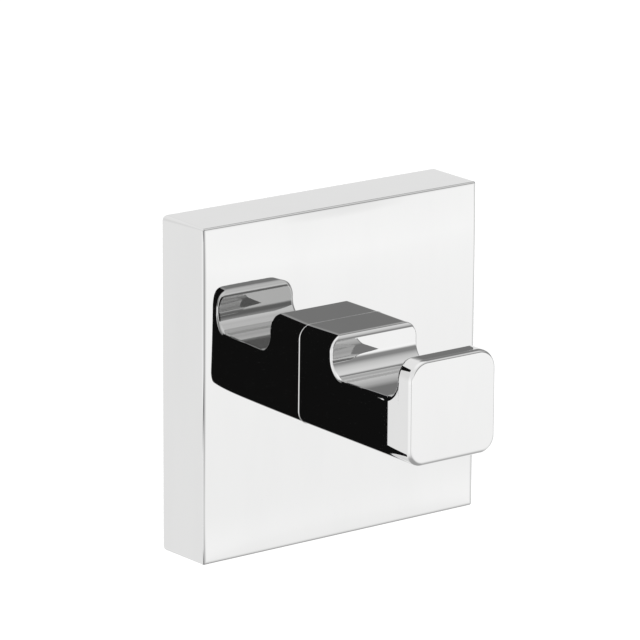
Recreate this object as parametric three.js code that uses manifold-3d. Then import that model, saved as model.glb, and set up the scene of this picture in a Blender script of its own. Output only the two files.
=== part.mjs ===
// Towel hook on a square cover plate, with the glued wall adapter that carries it.
// Millimetres. X is to the right, Z is up, and the wall is the plane Y = 0.
// The hook stands out towards -Y. "out" is a distance in front of the wall.
import * as THREE from "three";
import { mergeVertices } from "three/addons/utils/BufferGeometryUtils.js";
import Module from "manifold-3d";

const wasm = await Module();
wasm.setup();

// Cover plate
const PLATE_WIDTH = 55;
const PLATE_DEPTH = 10.8;
const PLATE_DRAFT = 0.25;
const PLATE_CORNER = 0.8;
const PLATE_EDGE = 0.3;
const FRONT_WALL = 2.4;
const SIDE_WALL = 2.1;
const CAVITY_CORNER = 1.5;

// Hook arm
const ARM_WIDTH = 17.3;
const ARM_HEIGHT = 17.1;
const ARM_RISE = 0.45;
const ARM_LENGTH = 28.6;
const ARM_CORNER = 2.7;
const ARM_EDGE = 0.45;
const ARM_FOOT_EDGE = 0.2;
const NOTCH_BACK = 8.6;
const NOTCH_FRONT = 24.9;
const NOTCH_FLOOR = 2.3;
const NOTCH_FILLET = 3.2;
const NOTCH_BACK_ROUND = 1.8;
const TIP_ROUND = 1.2;
const PEG_RADIUS = 1.5;
const PEG_SPACING = 11;
const PEG_LENGTH = 2.1;

// Wall adapter and its pad
const ADAPTER_RADIUS = 24;
const ADAPTER_DEPTH = 3.4;
const ADAPTER_SHOULDER = 1.2;
const RIM_WIDTH = 2.5;
const RIM_SLOPE = 1.9;
const RECESS_DEPTH = 1.9;
const VENT_RADIUS = 1.65;
const VENT_Z = 15.7;
const GLUE_RADIUS = 3.65;
const GLUE_Z = -12.5;
const PAD_WIDTH = 22;
const PAD_HEIGHT = 36.7;
const PAD_DEPTH = 1.85;
const PAD_STRAIGHT = 7;
const PAD_CORNER_Z = 16.4;
const PAD_SIDE_RADIUS = 20;
const PAD_NICK_RADIUS = 5.8;

// Fasteners
const BRACKET_SCREW_SPACING = 30.6;
const M3_RADIUS = 1.5;
const M3_HEAD_RADIUS = 2.75;
const M3_HEAD_DEPTH = 1.55;
const M3_WASHER_RADIUS = 3.5;
const M3_WASHER_DEPTH = 0.5;
const M3_NUT_FLATS = 5.5;
const M3_NUT_DEPTH = 1.8;
const M4_RADIUS = 2;
const M4_LENGTH = 10;
const M4_SOCKET_FLATS = 2;
const M4_SOCKET_DEPTH = 2.5;
const M5_RADIUS = 2.5;
const M5_LENGTH = 10;
const M5_HEAD_RADIUS = 4.25;
const M5_HEAD_DEPTH = 2.7;
const M5_SOCKET_FLATS = 3;
const M5_SOCKET_DEPTH = 1.5;
const M5_WASHER_RADIUS = 5;
const M5_WASHER_DEPTH = 1;
const HOLE_SLACK = 0.15;
const SEAT_GAP = 0.05;

// Mounting bracket and what locks the cover to it
const BRACKET_WIDTH = 38;
const BRACKET_HEIGHT = 30;
const BRACKET_SHEET = 1.2;
const BRACKET_FLANGE_WIDTH = 24;
const BRACKET_REACH = 8;
const BRACKET_CORNER = 4;
const BRACKET_WINDOW = 6.5;
const BRACKET_SLOT = 2;
const HANGER_WIDTH = 20;
const HANGER_HEIGHT = 3;
const HANGER_BACK = 4.4;
const BOSS_WIDTH = 9;
const BOSS_HEIGHT = 7.7;
const BOSS_BACK = 3.6;
const GRUB_OUT = 6.25;
const LOCK_GAP = 0.1;

const ROUND = 48;
const CORNER_STEPS = 8;
const CUT_PAST = 1;

const INNER_FACE = PLATE_DEPTH - FRONT_WALL;
const BRACKET_BACK = ADAPTER_DEPTH + SEAT_GAP;
const BRACKET_FRONT = BRACKET_BACK + BRACKET_SHEET;
const FLANGE_Z = BRACKET_HEIGHT / 2;
const ARM_FOOT = PLATE_DEPTH + SEAT_GAP;
const ARM_TOP = ARM_RISE + ARM_HEIGHT / 2;

// Finishes
const finish = (name, color, roughness, metalness) =>
  new THREE.MeshStandardMaterial({ name, color, roughness, metalness });
const chrome = () => finish("chrome", 0xe4e6e7, 0.05, 1);
const castGrey = () => finish("cast_grey", 0x8b9094, 0.5, 0.7);
const padTan = () => finish("pad_tan", 0xcaa384, 0.9, 0);
const zincSteel = () => finish("zinc_steel", 0xc3c7c9, 0.3, 1);
const darkSteel = () => finish("dark_steel", 0x4a4c50, 0.4, 1);

// Closed geometry to a solid, and a solid to a named mesh
function solid(geometry) {
  geometry.deleteAttribute("normal");
  geometry.deleteAttribute("uv");
  const welded = mergeVertices(geometry, 1e-5);
  return new wasm.Manifold(new wasm.Mesh({
    numProp: 3,
    vertProperties: Float32Array.from(welded.attributes.position.array),
    triVerts: Uint32Array.from(welded.index.array),
  }));
}

function part(name, body, material) {
  const { vertProperties, triVerts } = body.getMesh();
  const geometry = new THREE.BufferGeometry();
  geometry.setAttribute("position", new THREE.BufferAttribute(vertProperties, 3));
  geometry.setIndex(new THREE.BufferAttribute(triVerts, 1));
  geometry.computeVertexNormals();
  const mesh = new THREE.Mesh(geometry, material);
  mesh.name = name;
  return mesh;
}

// A rounded rectangle's outline, anticlockwise seen from the front
function roundedRing(width, height, radius, steps) {
  const ring = [];
  const centreX = width / 2 - radius;
  const centreZ = height / 2 - radius;
  for (let corner = 0; corner < 4; corner += 1) {
    const signX = corner === 0 || corner === 3 ? 1 : -1;
    const signZ = corner < 2 ? 1 : -1;
    for (let step = 0; step <= steps; step += 1) {
      const angle = (corner + step / steps) * (Math.PI / 2);
      const x = signX * centreX + radius * Math.cos(angle);
      const z = signZ * centreZ + radius * Math.sin(angle);
      ring.push([x, z]);
    }
  }
  return ring;
}

// Rings of equal count, from the back forwards, skinned and capped
function loft(rings) {
  const positions = [];
  const index = [];
  const count = rings[0].points.length;
  for (const { out, points } of rings) {
    for (const [x, z] of points) positions.push(x, -out, z);
  }
  for (let row = 0; row < rings.length - 1; row += 1) {
    for (let i = 0; i < count; i += 1) {
      const next = (i + 1) % count;
      const [a, b] = [row * count + i, row * count + next];
      const [c, d] = [a + count, b + count];
      index.push(a, b, d, a, d, c);
    }
  }
  const last = (rings.length - 1) * count;
  for (let i = 1; i < count - 1; i += 1) {
    index.push(0, i + 1, i, last, last + i, last + i + 1);
  }
  const geometry = new THREE.BufferGeometry();
  geometry.setAttribute("position", new THREE.Float32BufferAttribute(positions, 3));
  geometry.setIndex(index);
  return solid(geometry);
}

// A shape drawn in X and Z, extruded forwards from one distance to another
function prism(shape, from, to) {
  const settings = { depth: to - from, bevelEnabled: false, curveSegments: ROUND / 4 };
  const geometry = new THREE.ExtrudeGeometry(shape, settings);
  return solid(geometry.rotateX(Math.PI / 2).translate(0, -from, 0));
}

// A shape drawn in out and Z, extruded across X and centred on it
function acrossPrism(shape, width) {
  const settings = { depth: width, bevelEnabled: false, curveSegments: CORNER_STEPS };
  const geometry = new THREE.ExtrudeGeometry(shape, settings);
  const basis = new THREE.Matrix4().makeBasis(
    new THREE.Vector3(0, -1, 0),
    new THREE.Vector3(0, 0, 1),
    new THREE.Vector3(-1, 0, 0),
  );
  return solid(geometry.applyMatrix4(basis).translate(width / 2, 0, 0));
}

function outline(points) {
  return new THREE.Shape(points.map(([x, z]) => new THREE.Vector2(x, z)));
}

function rod(radius, from, to, x, z, sides = ROUND) {
  const geometry = new THREE.CylinderGeometry(radius, radius, to - from, sides);
  return solid(geometry.translate(x, -(from + to) / 2, z));
}

function uprightRod(radius, low, high, out, sides = ROUND) {
  const geometry = new THREE.CylinderGeometry(radius, radius, high - low, sides);
  return solid(geometry.rotateX(Math.PI / 2).translate(0, -out, (low + high) / 2));
}

function block(width, from, to, low, high) {
  const geometry = new THREE.BoxGeometry(width, to - from, high - low);
  return solid(geometry.translate(0, -(from + to) / 2, (low + high) / 2));
}

const hexRadius = (flats) => flats / Math.sqrt(3);

// A turned piece: radius against distance out, starting and ending on its axis
function turned(profile) {
  const points = profile.map(([radius, out]) => new THREE.Vector2(radius, -out));
  return solid(new THREE.LatheGeometry(points.reverse(), ROUND));
}

function coverPlate() {
  const widthAt = (out) => PLATE_WIDTH + (2 * PLATE_DRAFT * (PLATE_DEPTH - out)) / PLATE_DEPTH;
  const ringAt = (out, inset) => {
    const width = widthAt(out) - 2 * inset;
    return { out, points: roundedRing(width, width, PLATE_CORNER - inset, CORNER_STEPS) };
  };
  const shell = loft([
    ringAt(0, PLATE_EDGE),
    ringAt(PLATE_EDGE, 0),
    ringAt(PLATE_DEPTH - PLATE_EDGE, 0),
    ringAt(PLATE_DEPTH, PLATE_EDGE),
  ]);
  const inside = PLATE_WIDTH - 2 * SIDE_WALL;
  const cavityRing = roundedRing(inside, inside, CAVITY_CORNER, CORNER_STEPS);
  const cavity = prism(outline(cavityRing), -CUT_PAST, INNER_FACE);
  const hangerLow = FLANGE_Z + LOCK_GAP;
  const root = INNER_FACE + FRONT_WALL / 2;
  const hanger = block(HANGER_WIDTH, HANGER_BACK, root, hangerLow, hangerLow + HANGER_HEIGHT);
  const floor = -inside / 2;
  const boss = block(BOSS_WIDTH, BOSS_BACK, root, floor - SIDE_WALL / 2, floor + BOSS_HEIGHT);
  const grubHole = uprightRod(M4_RADIUS + HOLE_SLACK, -PLATE_WIDTH, floor + BOSS_HEIGHT + CUT_PAST, GRUB_OUT);
  const cutTo = PLATE_DEPTH + CUT_PAST;
  let body = shell.subtract(cavity).add(hanger).add(boss).subtract(grubHole);
  body = body.subtract(rod(M5_RADIUS + HOLE_SLACK, INNER_FACE - CUT_PAST, cutTo, 0, 0));
  for (const side of [-1, 1]) {
    const pegX = (side * PEG_SPACING) / 2;
    body = body.subtract(rod(PEG_RADIUS + HOLE_SLACK, INNER_FACE - CUT_PAST, cutTo, pegX, 0));
  }
  return part("cover_plate", body, chrome());
}

// The notch's outline in out and Z, with its roundings at the top edges and the floor
function notchShape() {
  const shape = new THREE.Shape();
  const back = PLATE_DEPTH + NOTCH_BACK;
  const front = PLATE_DEPTH + NOTCH_FRONT;
  const above = ARM_TOP + CUT_PAST;
  const filletZ = NOTCH_FLOOR + NOTCH_FILLET;
  const quarter = Math.PI / 2;
  shape.moveTo(back - NOTCH_BACK_ROUND, above);
  shape.lineTo(back - NOTCH_BACK_ROUND, ARM_TOP);
  shape.absarc(back - NOTCH_BACK_ROUND, ARM_TOP - NOTCH_BACK_ROUND, NOTCH_BACK_ROUND, quarter, 0, true);
  shape.absarc(back + NOTCH_FILLET, filletZ, NOTCH_FILLET, 2 * quarter, 3 * quarter, false);
  shape.absarc(front - NOTCH_FILLET, filletZ, NOTCH_FILLET, 3 * quarter, 4 * quarter, false);
  shape.absarc(front + TIP_ROUND, ARM_TOP - TIP_ROUND, TIP_ROUND, 2 * quarter, quarter, true);
  shape.lineTo(front + TIP_ROUND, above);
  return shape;
}

function hookArm() {
  const tip = PLATE_DEPTH + ARM_LENGTH;
  const ringAt = (out, inset) => {
    const points = roundedRing(ARM_WIDTH - 2 * inset, ARM_HEIGHT - 2 * inset, ARM_CORNER - inset, CORNER_STEPS);
    return { out, points: points.map(([x, z]) => [x, z + ARM_RISE]) };
  };
  const rings = [ringAt(ARM_FOOT, ARM_FOOT_EDGE), ringAt(ARM_FOOT + ARM_FOOT_EDGE, 0)];
  const edgeSteps = 4;
  for (let step = 0; step <= edgeSteps; step += 1) {
    const angle = (step / edgeSteps) * (Math.PI / 2);
    const inset = ARM_EDGE * (1 - Math.cos(angle));
    rings.push(ringAt(tip - ARM_EDGE + ARM_EDGE * Math.sin(angle), inset));
  }
  const notch = acrossPrism(notchShape(), ARM_WIDTH + 2 * CUT_PAST);
  const boreEnd = INNER_FACE - M5_WASHER_DEPTH + M5_LENGTH + CUT_PAST / 2;
  const bore = rod(M5_RADIUS + HOLE_SLACK, ARM_FOOT - CUT_PAST, boreEnd, 0, 0);
  let body = loft(rings).subtract(notch).subtract(bore);
  for (const side of [-1, 1]) {
    const pegX = (side * PEG_SPACING) / 2;
    body = body.add(rod(PEG_RADIUS, ARM_FOOT - PEG_LENGTH, ARM_FOOT + CUT_PAST, pegX, 0));
  }
  return part("hook_arm", body, chrome());
}

function wallAdapter() {
  const innerRadius = ADAPTER_RADIUS - RIM_WIDTH;
  let body = turned([
    [0, RECESS_DEPTH],
    [innerRadius - RIM_SLOPE, RECESS_DEPTH],
    [innerRadius, 0],
    [ADAPTER_RADIUS, 0],
    [ADAPTER_RADIUS, ADAPTER_DEPTH - ADAPTER_SHOULDER],
    [ADAPTER_RADIUS - ADAPTER_SHOULDER, ADAPTER_DEPTH],
    [0, ADAPTER_DEPTH],
  ]);
  const cutTo = ADAPTER_DEPTH + CUT_PAST;
  body = body.subtract(rod(VENT_RADIUS, 0, cutTo, 0, VENT_Z));
  body = body.subtract(rod(GLUE_RADIUS, 0, cutTo, 0, GLUE_Z));
  for (const side of [-1, 1]) {
    const screwX = (side * BRACKET_SCREW_SPACING) / 2;
    body = body.subtract(rod(M3_RADIUS + HOLE_SLACK, 0, cutTo, screwX, 0));
  }
  return part("wall_adapter", body, castGrey());
}

// Barrel-shaped pad: bowed sides and ends, with a nick round each screw head
function adhesivePad() {
  const shape = new THREE.Shape();
  const half = PAD_WIDTH / 2;
  const screwX = BRACKET_SCREW_SPACING / 2;
  const sideX = half - PAD_SIDE_RADIUS;
  const sideAngle = Math.asin((PAD_CORNER_Z - PAD_STRAIGHT) / PAD_SIDE_RADIUS);
  const cornerX = sideX + PAD_SIDE_RADIUS * Math.cos(sideAngle);
  const sag = PAD_HEIGHT / 2 - PAD_CORNER_Z;
  const endRadius = (cornerX * cornerX + sag * sag) / (2 * sag);
  const endZ = PAD_HEIGHT / 2 - endRadius;
  const endAngle = Math.asin(cornerX / endRadius);
  const nickAngle = Math.acos((screwX - half) / PAD_NICK_RADIUS);
  const turn = Math.PI;
  shape.absarc(sideX, PAD_STRAIGHT, PAD_SIDE_RADIUS, 0, sideAngle, false);
  shape.absarc(0, endZ, endRadius, turn / 2 - endAngle, turn / 2 + endAngle, false);
  shape.absarc(-sideX, PAD_STRAIGHT, PAD_SIDE_RADIUS, turn - sideAngle, turn, false);
  shape.absarc(-screwX, 0, PAD_NICK_RADIUS, nickAngle, -nickAngle, true);
  shape.absarc(-sideX, -PAD_STRAIGHT, PAD_SIDE_RADIUS, turn, turn + sideAngle, false);
  shape.absarc(0, -endZ, endRadius, 1.5 * turn - endAngle, 1.5 * turn + endAngle, false);
  shape.absarc(sideX, -PAD_STRAIGHT, PAD_SIDE_RADIUS, -sideAngle, 0, false);
  shape.absarc(screwX, 0, PAD_NICK_RADIUS, turn + nickAngle, turn - nickAngle, true);
  const body = prism(shape, 0, PAD_DEPTH)
    .subtract(rod(VENT_RADIUS, -CUT_PAST, PAD_DEPTH + CUT_PAST, 0, VENT_Z))
    .subtract(rod(GLUE_RADIUS, -CUT_PAST, PAD_DEPTH + CUT_PAST, 0, GLUE_Z));
  return part("adhesive_pad", body, padTan());
}

// Pan-head screw with a cross recess, its head on the adapter's wall side
function adapterScrew(name, x) {
  const seat = RECESS_DEPTH - SEAT_GAP;
  const headBack = seat - M3_HEAD_DEPTH;
  const crown = M3_HEAD_DEPTH / 3;
  const end = BRACKET_FRONT + M3_WASHER_DEPTH + M3_NUT_DEPTH + 3 * SEAT_GAP + M3_RADIUS / 2;
  const recessWidth = M3_RADIUS / 2;
  const recessLength = M3_HEAD_RADIUS * 1.1;
  let body = turned([
    [0, headBack],
    [M3_HEAD_RADIUS - crown, headBack],
    [M3_HEAD_RADIUS, headBack + crown],
    [M3_HEAD_RADIUS, seat],
    [M3_RADIUS, seat],
    [M3_RADIUS, end - M3_RADIUS / 4],
    [M3_RADIUS * 0.75, end],
    [0, end],
  ]);
  for (const [width, height] of [[recessWidth, recessLength], [recessLength, recessWidth]]) {
    body = body.subtract(block(width, 0, headBack + M3_HEAD_DEPTH / 2, -height / 2, height / 2));
  }
  return part(name, body.translate([x, 0, 0]), zincSteel());
}

function bracketWasher(name, x) {
  const back = BRACKET_FRONT + SEAT_GAP;
  const front = back + M3_WASHER_DEPTH;
  const body = rod(M3_WASHER_RADIUS, back, front, x, 0)
    .subtract(rod(M3_RADIUS + HOLE_SLACK, back - CUT_PAST, front + CUT_PAST, x, 0));
  return part(name, body, zincSteel());
}

function bracketNut(name, x) {
  const back = BRACKET_FRONT + M3_WASHER_DEPTH + 2 * SEAT_GAP;
  const front = back + M3_NUT_DEPTH;
  const body = rod(hexRadius(M3_NUT_FLATS), back, front, x, 0, 6)
    .subtract(rod(M3_RADIUS + HOLE_SLACK, back - CUT_PAST, front + CUT_PAST, x, 0));
  return part(name, body, zincSteel());
}

// Pressed channel: a flat back with a flange bent forwards above and below
function mountingBracket() {
  const flange = new THREE.Shape();
  const inner = BRACKET_SHEET / 2;
  const bend = inner + BRACKET_SHEET;
  const quarter = Math.PI / 2;
  flange.moveTo(BRACKET_BACK, 0);
  flange.absarc(BRACKET_BACK + bend, FLANGE_Z - bend, bend, 2 * quarter, quarter, true);
  flange.lineTo(BRACKET_REACH, FLANGE_Z);
  flange.lineTo(BRACKET_REACH, FLANGE_Z - BRACKET_SHEET);
  flange.absarc(BRACKET_BACK + bend, FLANGE_Z - bend, inner, quarter, 2 * quarter, false);
  flange.lineTo(BRACKET_FRONT, 0);
  const upper = acrossPrism(flange, BRACKET_FLANGE_WIDTH);
  const lower = upper.rotate([0, 180, 0]);
  const backHeight = BRACKET_HEIGHT - 2 * BRACKET_CORNER;
  const backRing = roundedRing(BRACKET_WIDTH, backHeight, BRACKET_CORNER, CORNER_STEPS);
  let body = prism(outline(backRing), BRACKET_BACK, BRACKET_FRONT).add(upper).add(lower);
  const [cutFrom, cutTo] = [BRACKET_BACK - CUT_PAST, BRACKET_FRONT + CUT_PAST];
  body = body.subtract(rod(BRACKET_WINDOW, cutFrom, cutTo, 0, 0));
  const slotRing = roundedRing(
    2 * (M3_RADIUS + HOLE_SLACK) + BRACKET_SLOT,
    2 * (M3_RADIUS + HOLE_SLACK),
    M3_RADIUS + HOLE_SLACK - SEAT_GAP,
    CORNER_STEPS,
  );
  for (const side of [-1, 1]) {
    const slot = prism(outline(slotRing), cutFrom, cutTo);
    body = body.subtract(slot.translate([(side * BRACKET_SCREW_SPACING) / 2, 0, 0]));
  }
  return part("mounting_bracket", body, zincSteel());
}

// Cap screw from inside the cover into the foot of the arm
function armScrew() {
  const seat = INNER_FACE - M5_WASHER_DEPTH - 2 * SEAT_GAP;
  const headBack = seat - M5_HEAD_DEPTH;
  const end = seat + M5_LENGTH;
  const edge = M5_RADIUS / 5;
  const body = turned([
    [0, headBack],
    [M5_HEAD_RADIUS - edge, headBack],
    [M5_HEAD_RADIUS, headBack + edge],
    [M5_HEAD_RADIUS, seat],
    [M5_RADIUS, seat],
    [M5_RADIUS, end - edge],
    [M5_RADIUS - edge, end],
    [0, end],
  ]).subtract(rod(hexRadius(M5_SOCKET_FLATS), 0, headBack + M5_SOCKET_DEPTH, 0, 0, 6));
  return part("arm_screw", body, darkSteel());
}

function armWasher() {
  const front = INNER_FACE - SEAT_GAP;
  const back = front - M5_WASHER_DEPTH;
  const body = rod(M5_WASHER_RADIUS, back, front, 0, 0)
    .subtract(rod(M5_RADIUS + HOLE_SLACK, back - CUT_PAST, front + CUT_PAST, 0, 0));
  return part("arm_washer", body, zincSteel());
}

// Set screw: its flat tip meets the lower flange, its socket faces the floor
function grubScrew() {
  const tip = -FLANGE_Z - LOCK_GAP;
  const low = tip - M4_LENGTH;
  const edge = M4_RADIUS / 4;
  const profile = [
    [0, low],
    [M4_RADIUS - edge, low],
    [M4_RADIUS, low + edge],
    [M4_RADIUS, tip - edge],
    [M4_RADIUS - edge, tip],
    [0, tip],
  ];
  const points = profile.map(([radius, z]) => new THREE.Vector2(radius, z));
  const lathe = new THREE.LatheGeometry(points, ROUND);
  const body = solid(lathe.rotateX(Math.PI / 2).translate(0, -GRUB_OUT, 0));
  const socketTop = low + M4_SOCKET_DEPTH;
  const socket = uprightRod(hexRadius(M4_SOCKET_FLATS), low - CUT_PAST, socketTop, GRUB_OUT, 6);
  return part("grub_screw", body.subtract(socket), darkSteel());
}

const hook = new THREE.Group();
hook.add(wallAdapter(), adhesivePad(), mountingBracket());
for (const [side, sign] of [["left", -1], ["right", 1]]) {
  const x = (sign * BRACKET_SCREW_SPACING) / 2;
  hook.add(adapterScrew(`adapter_screw_${side}`, x));
  hook.add(bracketWasher(`bracket_washer_${side}`, x));
  hook.add(bracketNut(`bracket_nut_${side}`, x));
}
hook.add(coverPlate(), hookArm(), armScrew(), armWasher(), grubScrew());

export default hook;
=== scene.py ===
"""Towel hook: a polished cover plate with a notched arm, locked onto a glued wall adapter.

Metres throughout. X is to the right, Z is up, the wall is the plane Y = 0 and the hook stands out
towards -Y. "out" is a distance in front of the wall.
"""

import math

import bpy
import numpy as np
from mathutils import Matrix, Vector


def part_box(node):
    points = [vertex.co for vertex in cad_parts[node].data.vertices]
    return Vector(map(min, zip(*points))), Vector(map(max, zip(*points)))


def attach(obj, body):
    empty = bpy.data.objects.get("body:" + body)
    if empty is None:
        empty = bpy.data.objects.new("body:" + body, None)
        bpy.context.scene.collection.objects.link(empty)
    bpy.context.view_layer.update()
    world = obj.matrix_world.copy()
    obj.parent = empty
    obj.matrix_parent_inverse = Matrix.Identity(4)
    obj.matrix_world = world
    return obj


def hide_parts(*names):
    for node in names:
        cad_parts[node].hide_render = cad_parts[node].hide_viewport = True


bl_info = {
    "name": "Towel Hook",
    "version": (1, 0, 0),
    "blender": (4, 5, 0),
    "location": "View3D > Sidebar > Towel Hook",
    "description": "Dresses the packed towel hook with chrome, cast metal, foam and fasteners",
    "category": "Object",
}

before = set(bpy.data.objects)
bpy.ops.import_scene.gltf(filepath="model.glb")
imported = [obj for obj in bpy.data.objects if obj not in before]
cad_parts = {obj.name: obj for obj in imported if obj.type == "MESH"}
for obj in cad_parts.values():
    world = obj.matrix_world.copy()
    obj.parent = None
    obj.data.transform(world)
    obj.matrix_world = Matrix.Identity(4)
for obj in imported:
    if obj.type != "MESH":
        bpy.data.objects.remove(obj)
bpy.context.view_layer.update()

MM = 0.001
TURN = 2 * math.pi
QUARTER = math.pi / 2
Y_AXIS = np.array([0.0, 1.0, 0.0])
SIDES = (("left", -1), ("right", 1))

# How far cutting shapes reach past what they cut, and how many steps go round a turned shape
CUT_PAST = 1 * MM
ROUND = 72

PLATE_LOW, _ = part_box("cover_plate")
ARM_LOW, ARM_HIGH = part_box("hook_arm")
ADAPTER_LOW, ADAPTER_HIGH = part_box("wall_adapter")
PAD_LOW, PAD_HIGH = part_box("adhesive_pad")
BRACKET_LOW, BRACKET_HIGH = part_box("mounting_bracket")

# Radii, clearances and widths across flats of the fasteners
M3_RADIUS, M3_BORE, M3_HEAD, M3_FLATS = 1.5 * MM, 1.65 * MM, 2.75 * MM, 5.5 * MM
M4_RADIUS, M4_BORE, M4_SOCKET = 2 * MM, 2.15 * MM, 2 * MM
M5_RADIUS, M5_BORE, M5_SOCKET = 2.5 * MM, 2.65 * MM, 3 * MM

# The bracket's corners and edges, its flanges, and its window and slots from their middles
BRACKET_CORNER, BRACKET_EDGE = 4 * MM, 0.12 * MM
FLANGE_WIDTH, FLANGE_ROOT = 24 * MM, 8 * MM
WINDOW_RADIUS = 6.5 * MM
SLOT_LENGTH, SLOT_HEIGHT, SLOT_CORNER = 2.65 * MM, 1.65 * MM, 1.6 * MM


def length(name, description, default):
    """A length in metres, shown in the scene's units."""
    return bpy.props.FloatProperty(
        name=name, description=description, default=default, unit="LENGTH", precision=5
    )


def angle(name, description, degrees):
    """An angle, kept in radians and shown in degrees."""
    return bpy.props.FloatProperty(
        name=name, description=description, default=math.radians(degrees), subtype="ANGLE"
    )


def colour(name, description, default):
    """A linear colour."""
    return bpy.props.FloatVectorProperty(
        name=name, description=description, default=default, size=3, subtype="COLOR", min=0, max=1
    )


class CoverSizes(bpy.types.PropertyGroup):
    """Sizes of the cover plate."""

    width: length("Width", "Width of the front face", 55 * MM)
    depth: length("Depth", "From the wall to the front face's edges", -PLATE_LOW.y)
    draft: length("Draft", "How much wider each side is at the wall", 0.25 * MM)
    corner: length("Corner", "Rounding of the four depth edges at the wall", 0.95 * MM)
    face_corner: length("Face Corner", "Rounding of those edges at the face", 0.3 * MM)
    front_edge: length("Front Edge", "Bevel round the front face", 0.2 * MM)
    back_edge: length("Back Edge", "Rounding round the wall side", 0.5 * MM)
    crown: length("Crown", "How far the middle of the face stands proud", 0.2 * MM)
    roll: length("Edge Roll", "Extra fall that polishing leaves along the edges", 0.085 * MM)
    wave: bpy.props.FloatProperty(
        name="Wave", description="Slope that polishing leaves across the middle of the face", default=0.012
    )
    side_wall: length("Side Wall", "Thickness of the sides", 2.1 * MM)
    front_wall: length("Front Wall", "Thickness of the face", 2.4 * MM)
    cavity_corner: length("Cavity Corner", "Rounding of the cavity's depth edges", 1.5 * MM)
    cavity_fillet: length("Cavity Fillet", "Fillet round the cavity's floor", 1.0 * MM)
    cavity_lip: length("Cavity Lip", "Bevel where the cavity opens", 0.3 * MM)
    hanger_width: length("Hanger Width", "Across the rib that hangs on the bracket", 20 * MM)
    hanger_height: length("Hanger Height", "From the rib's lower face to its upper one", 3 * MM)
    hanger_back: length("Hanger Back", "From the wall to the rib", 4.4 * MM)
    boss_width: length("Boss Width", "Across the block that holds the grub screw", 9 * MM)
    boss_height: length("Boss Height", "From the cavity's lower wall to the block's top", 7.7 * MM)
    boss_back: length("Boss Back", "From the wall to the block", 3.6 * MM)
    rib_edge: length("Rib Edge", "Rounding of the rib's and the block's edges", 0.3 * MM)
    grub_out: length("Grub Screw", "From the wall to the grub screw's axis", 6.25 * MM)


class ArmSizes(bpy.types.PropertyGroup):
    """Sizes of the arm and its notch."""

    width: length("Width", "Across the arm, half way along", ARM_HIGH.x - ARM_LOW.x)
    draft: length("Draft", "How much each side falls in from foot to tip", 0.18 * MM)
    foot_corner: length("Foot Corner", "Rounding of the upper edges at the foot", 2.2 * MM)
    tip_corner: length("Tip Corner", "Rounding of the upper edges at the tip", 3.4 * MM)
    under_corner: length("Lower Corner", "Rounding of the lower edges", 2.6 * MM)
    foot_lift: length("Foot Lift", "How much higher the underside is at the foot", 0.45 * MM)
    tip_edge: length("Tip Edge", "How far the rounding draws in round the end face", 0.5 * MM)
    tip_under: length("Tip Underside", "How far the rounding draws in below", 0.85 * MM)
    tip_depth: length("Tip Depth", "How far that rounding reaches back", 0.85 * MM)
    foot_flare: length("Foot Flare", "Flare at the sides of the foot", 0.15 * MM)
    top_flare: length("Top Flare", "Flare above and below the foot", 0.06 * MM)
    notch_back: length("Notch Back", "From the plate to the notch's rear wall", 8.6 * MM)
    notch_front: length("Notch Front", "From the plate to the tip's inner wall", 24.9 * MM)
    notch_floor: length("Notch Floor", "Height of the floor above the axis", 2.3 * MM)
    notch_fillet: length("Notch Fillet", "Radius in the notch's two corners", 3.2 * MM)
    back_round: length("Rear Rounding", "Rounding at the top of the rear wall", 0.8 * MM)
    tip_round: length("Tip Rounding", "Rounding at the top of the tip's inner wall", 0.9 * MM)
    back_rim: length("Rear Rim", "Rounding of the notch's side edges at the rear", 0.4 * MM)
    tip_rim: length("Tip Rim", "Rounding of the notch's side edges at the tip", 0.8 * MM)
    bore_depth: length("Bore Depth", "Depth of the bore for the arm's screw", 8 * MM)
    peg_radius: length("Peg Radius", "Radius of the two pegs on the foot", 1.5 * MM)
    peg_spacing: length("Peg Spacing", "Between the two pegs", 11 * MM)
    peg_length: length("Peg Length", "How far the pegs reach into the plate", 2.1 * MM)


class FixingSizes(bpy.types.PropertyGroup):
    """Sizes of the adapter, pad, bracket and fasteners."""

    adapter_rim: length("Rim Width", "Flat of the adapter's rim", 2.5 * MM)
    adapter_slope: length("Rim Slope", "Width of the slope inside the rim", 1.9 * MM)
    recess: length("Recess", "Depth of the adapter's wall side", 1.9 * MM)
    shoulder: length("Shoulder", "Bevel of the adapter's front edge", 1.2 * MM)
    cast_edge: length("Cast Edge", "Rounding of the adapter's edges", 0.3 * MM)
    vent_bore: length("Vent", "Radius of the small hole above", 1.65 * MM)
    vent_rise: length("Vent Rise", "From the middle up to the small hole", 15.7 * MM)
    glue_bore: length("Glue Hole", "Radius of the larger hole below", 3.65 * MM)
    glue_drop: length("Glue Hole Drop", "From the middle down to the larger hole", 12.5 * MM)
    cast_lead: length("Cast Lead", "Bevel of the adapter's holes", 0.25 * MM)
    pad_lead: length("Pad Lead", "Bevel of the pad's holes", 0.15 * MM)
    pad_edge: length("Pad Edge", "Soft rounding of the pad's edges", 0.35 * MM)
    pad_waist: length("Pad Waist", "Height at which the pad's sides start to bow", 7 * MM)
    pad_corner: length("Pad Corner", "Height of the pad's upper corners", 16.4 * MM)
    pad_bow: length("Pad Bow", "Radius of the pad's bowed sides", 20 * MM)
    pad_nick: length("Pad Nick", "Radius of the cut-outs round the screw heads", 5.8 * MM)
    sheet: length("Sheet", "Thickness of the bracket", 1.2 * MM)
    screw_spacing: length("Screw Spacing", "Between the two adapter screws", 30.6 * MM)
    thread_m3: length("M3 Pitch", "Pitch of the adapter screws", 0.5 * MM)
    thread_m4: length("M4 Pitch", "Pitch of the grub screw", 0.7 * MM)
    thread_m5: length("M5 Pitch", "Pitch of the arm screw", 0.8 * MM)


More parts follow.
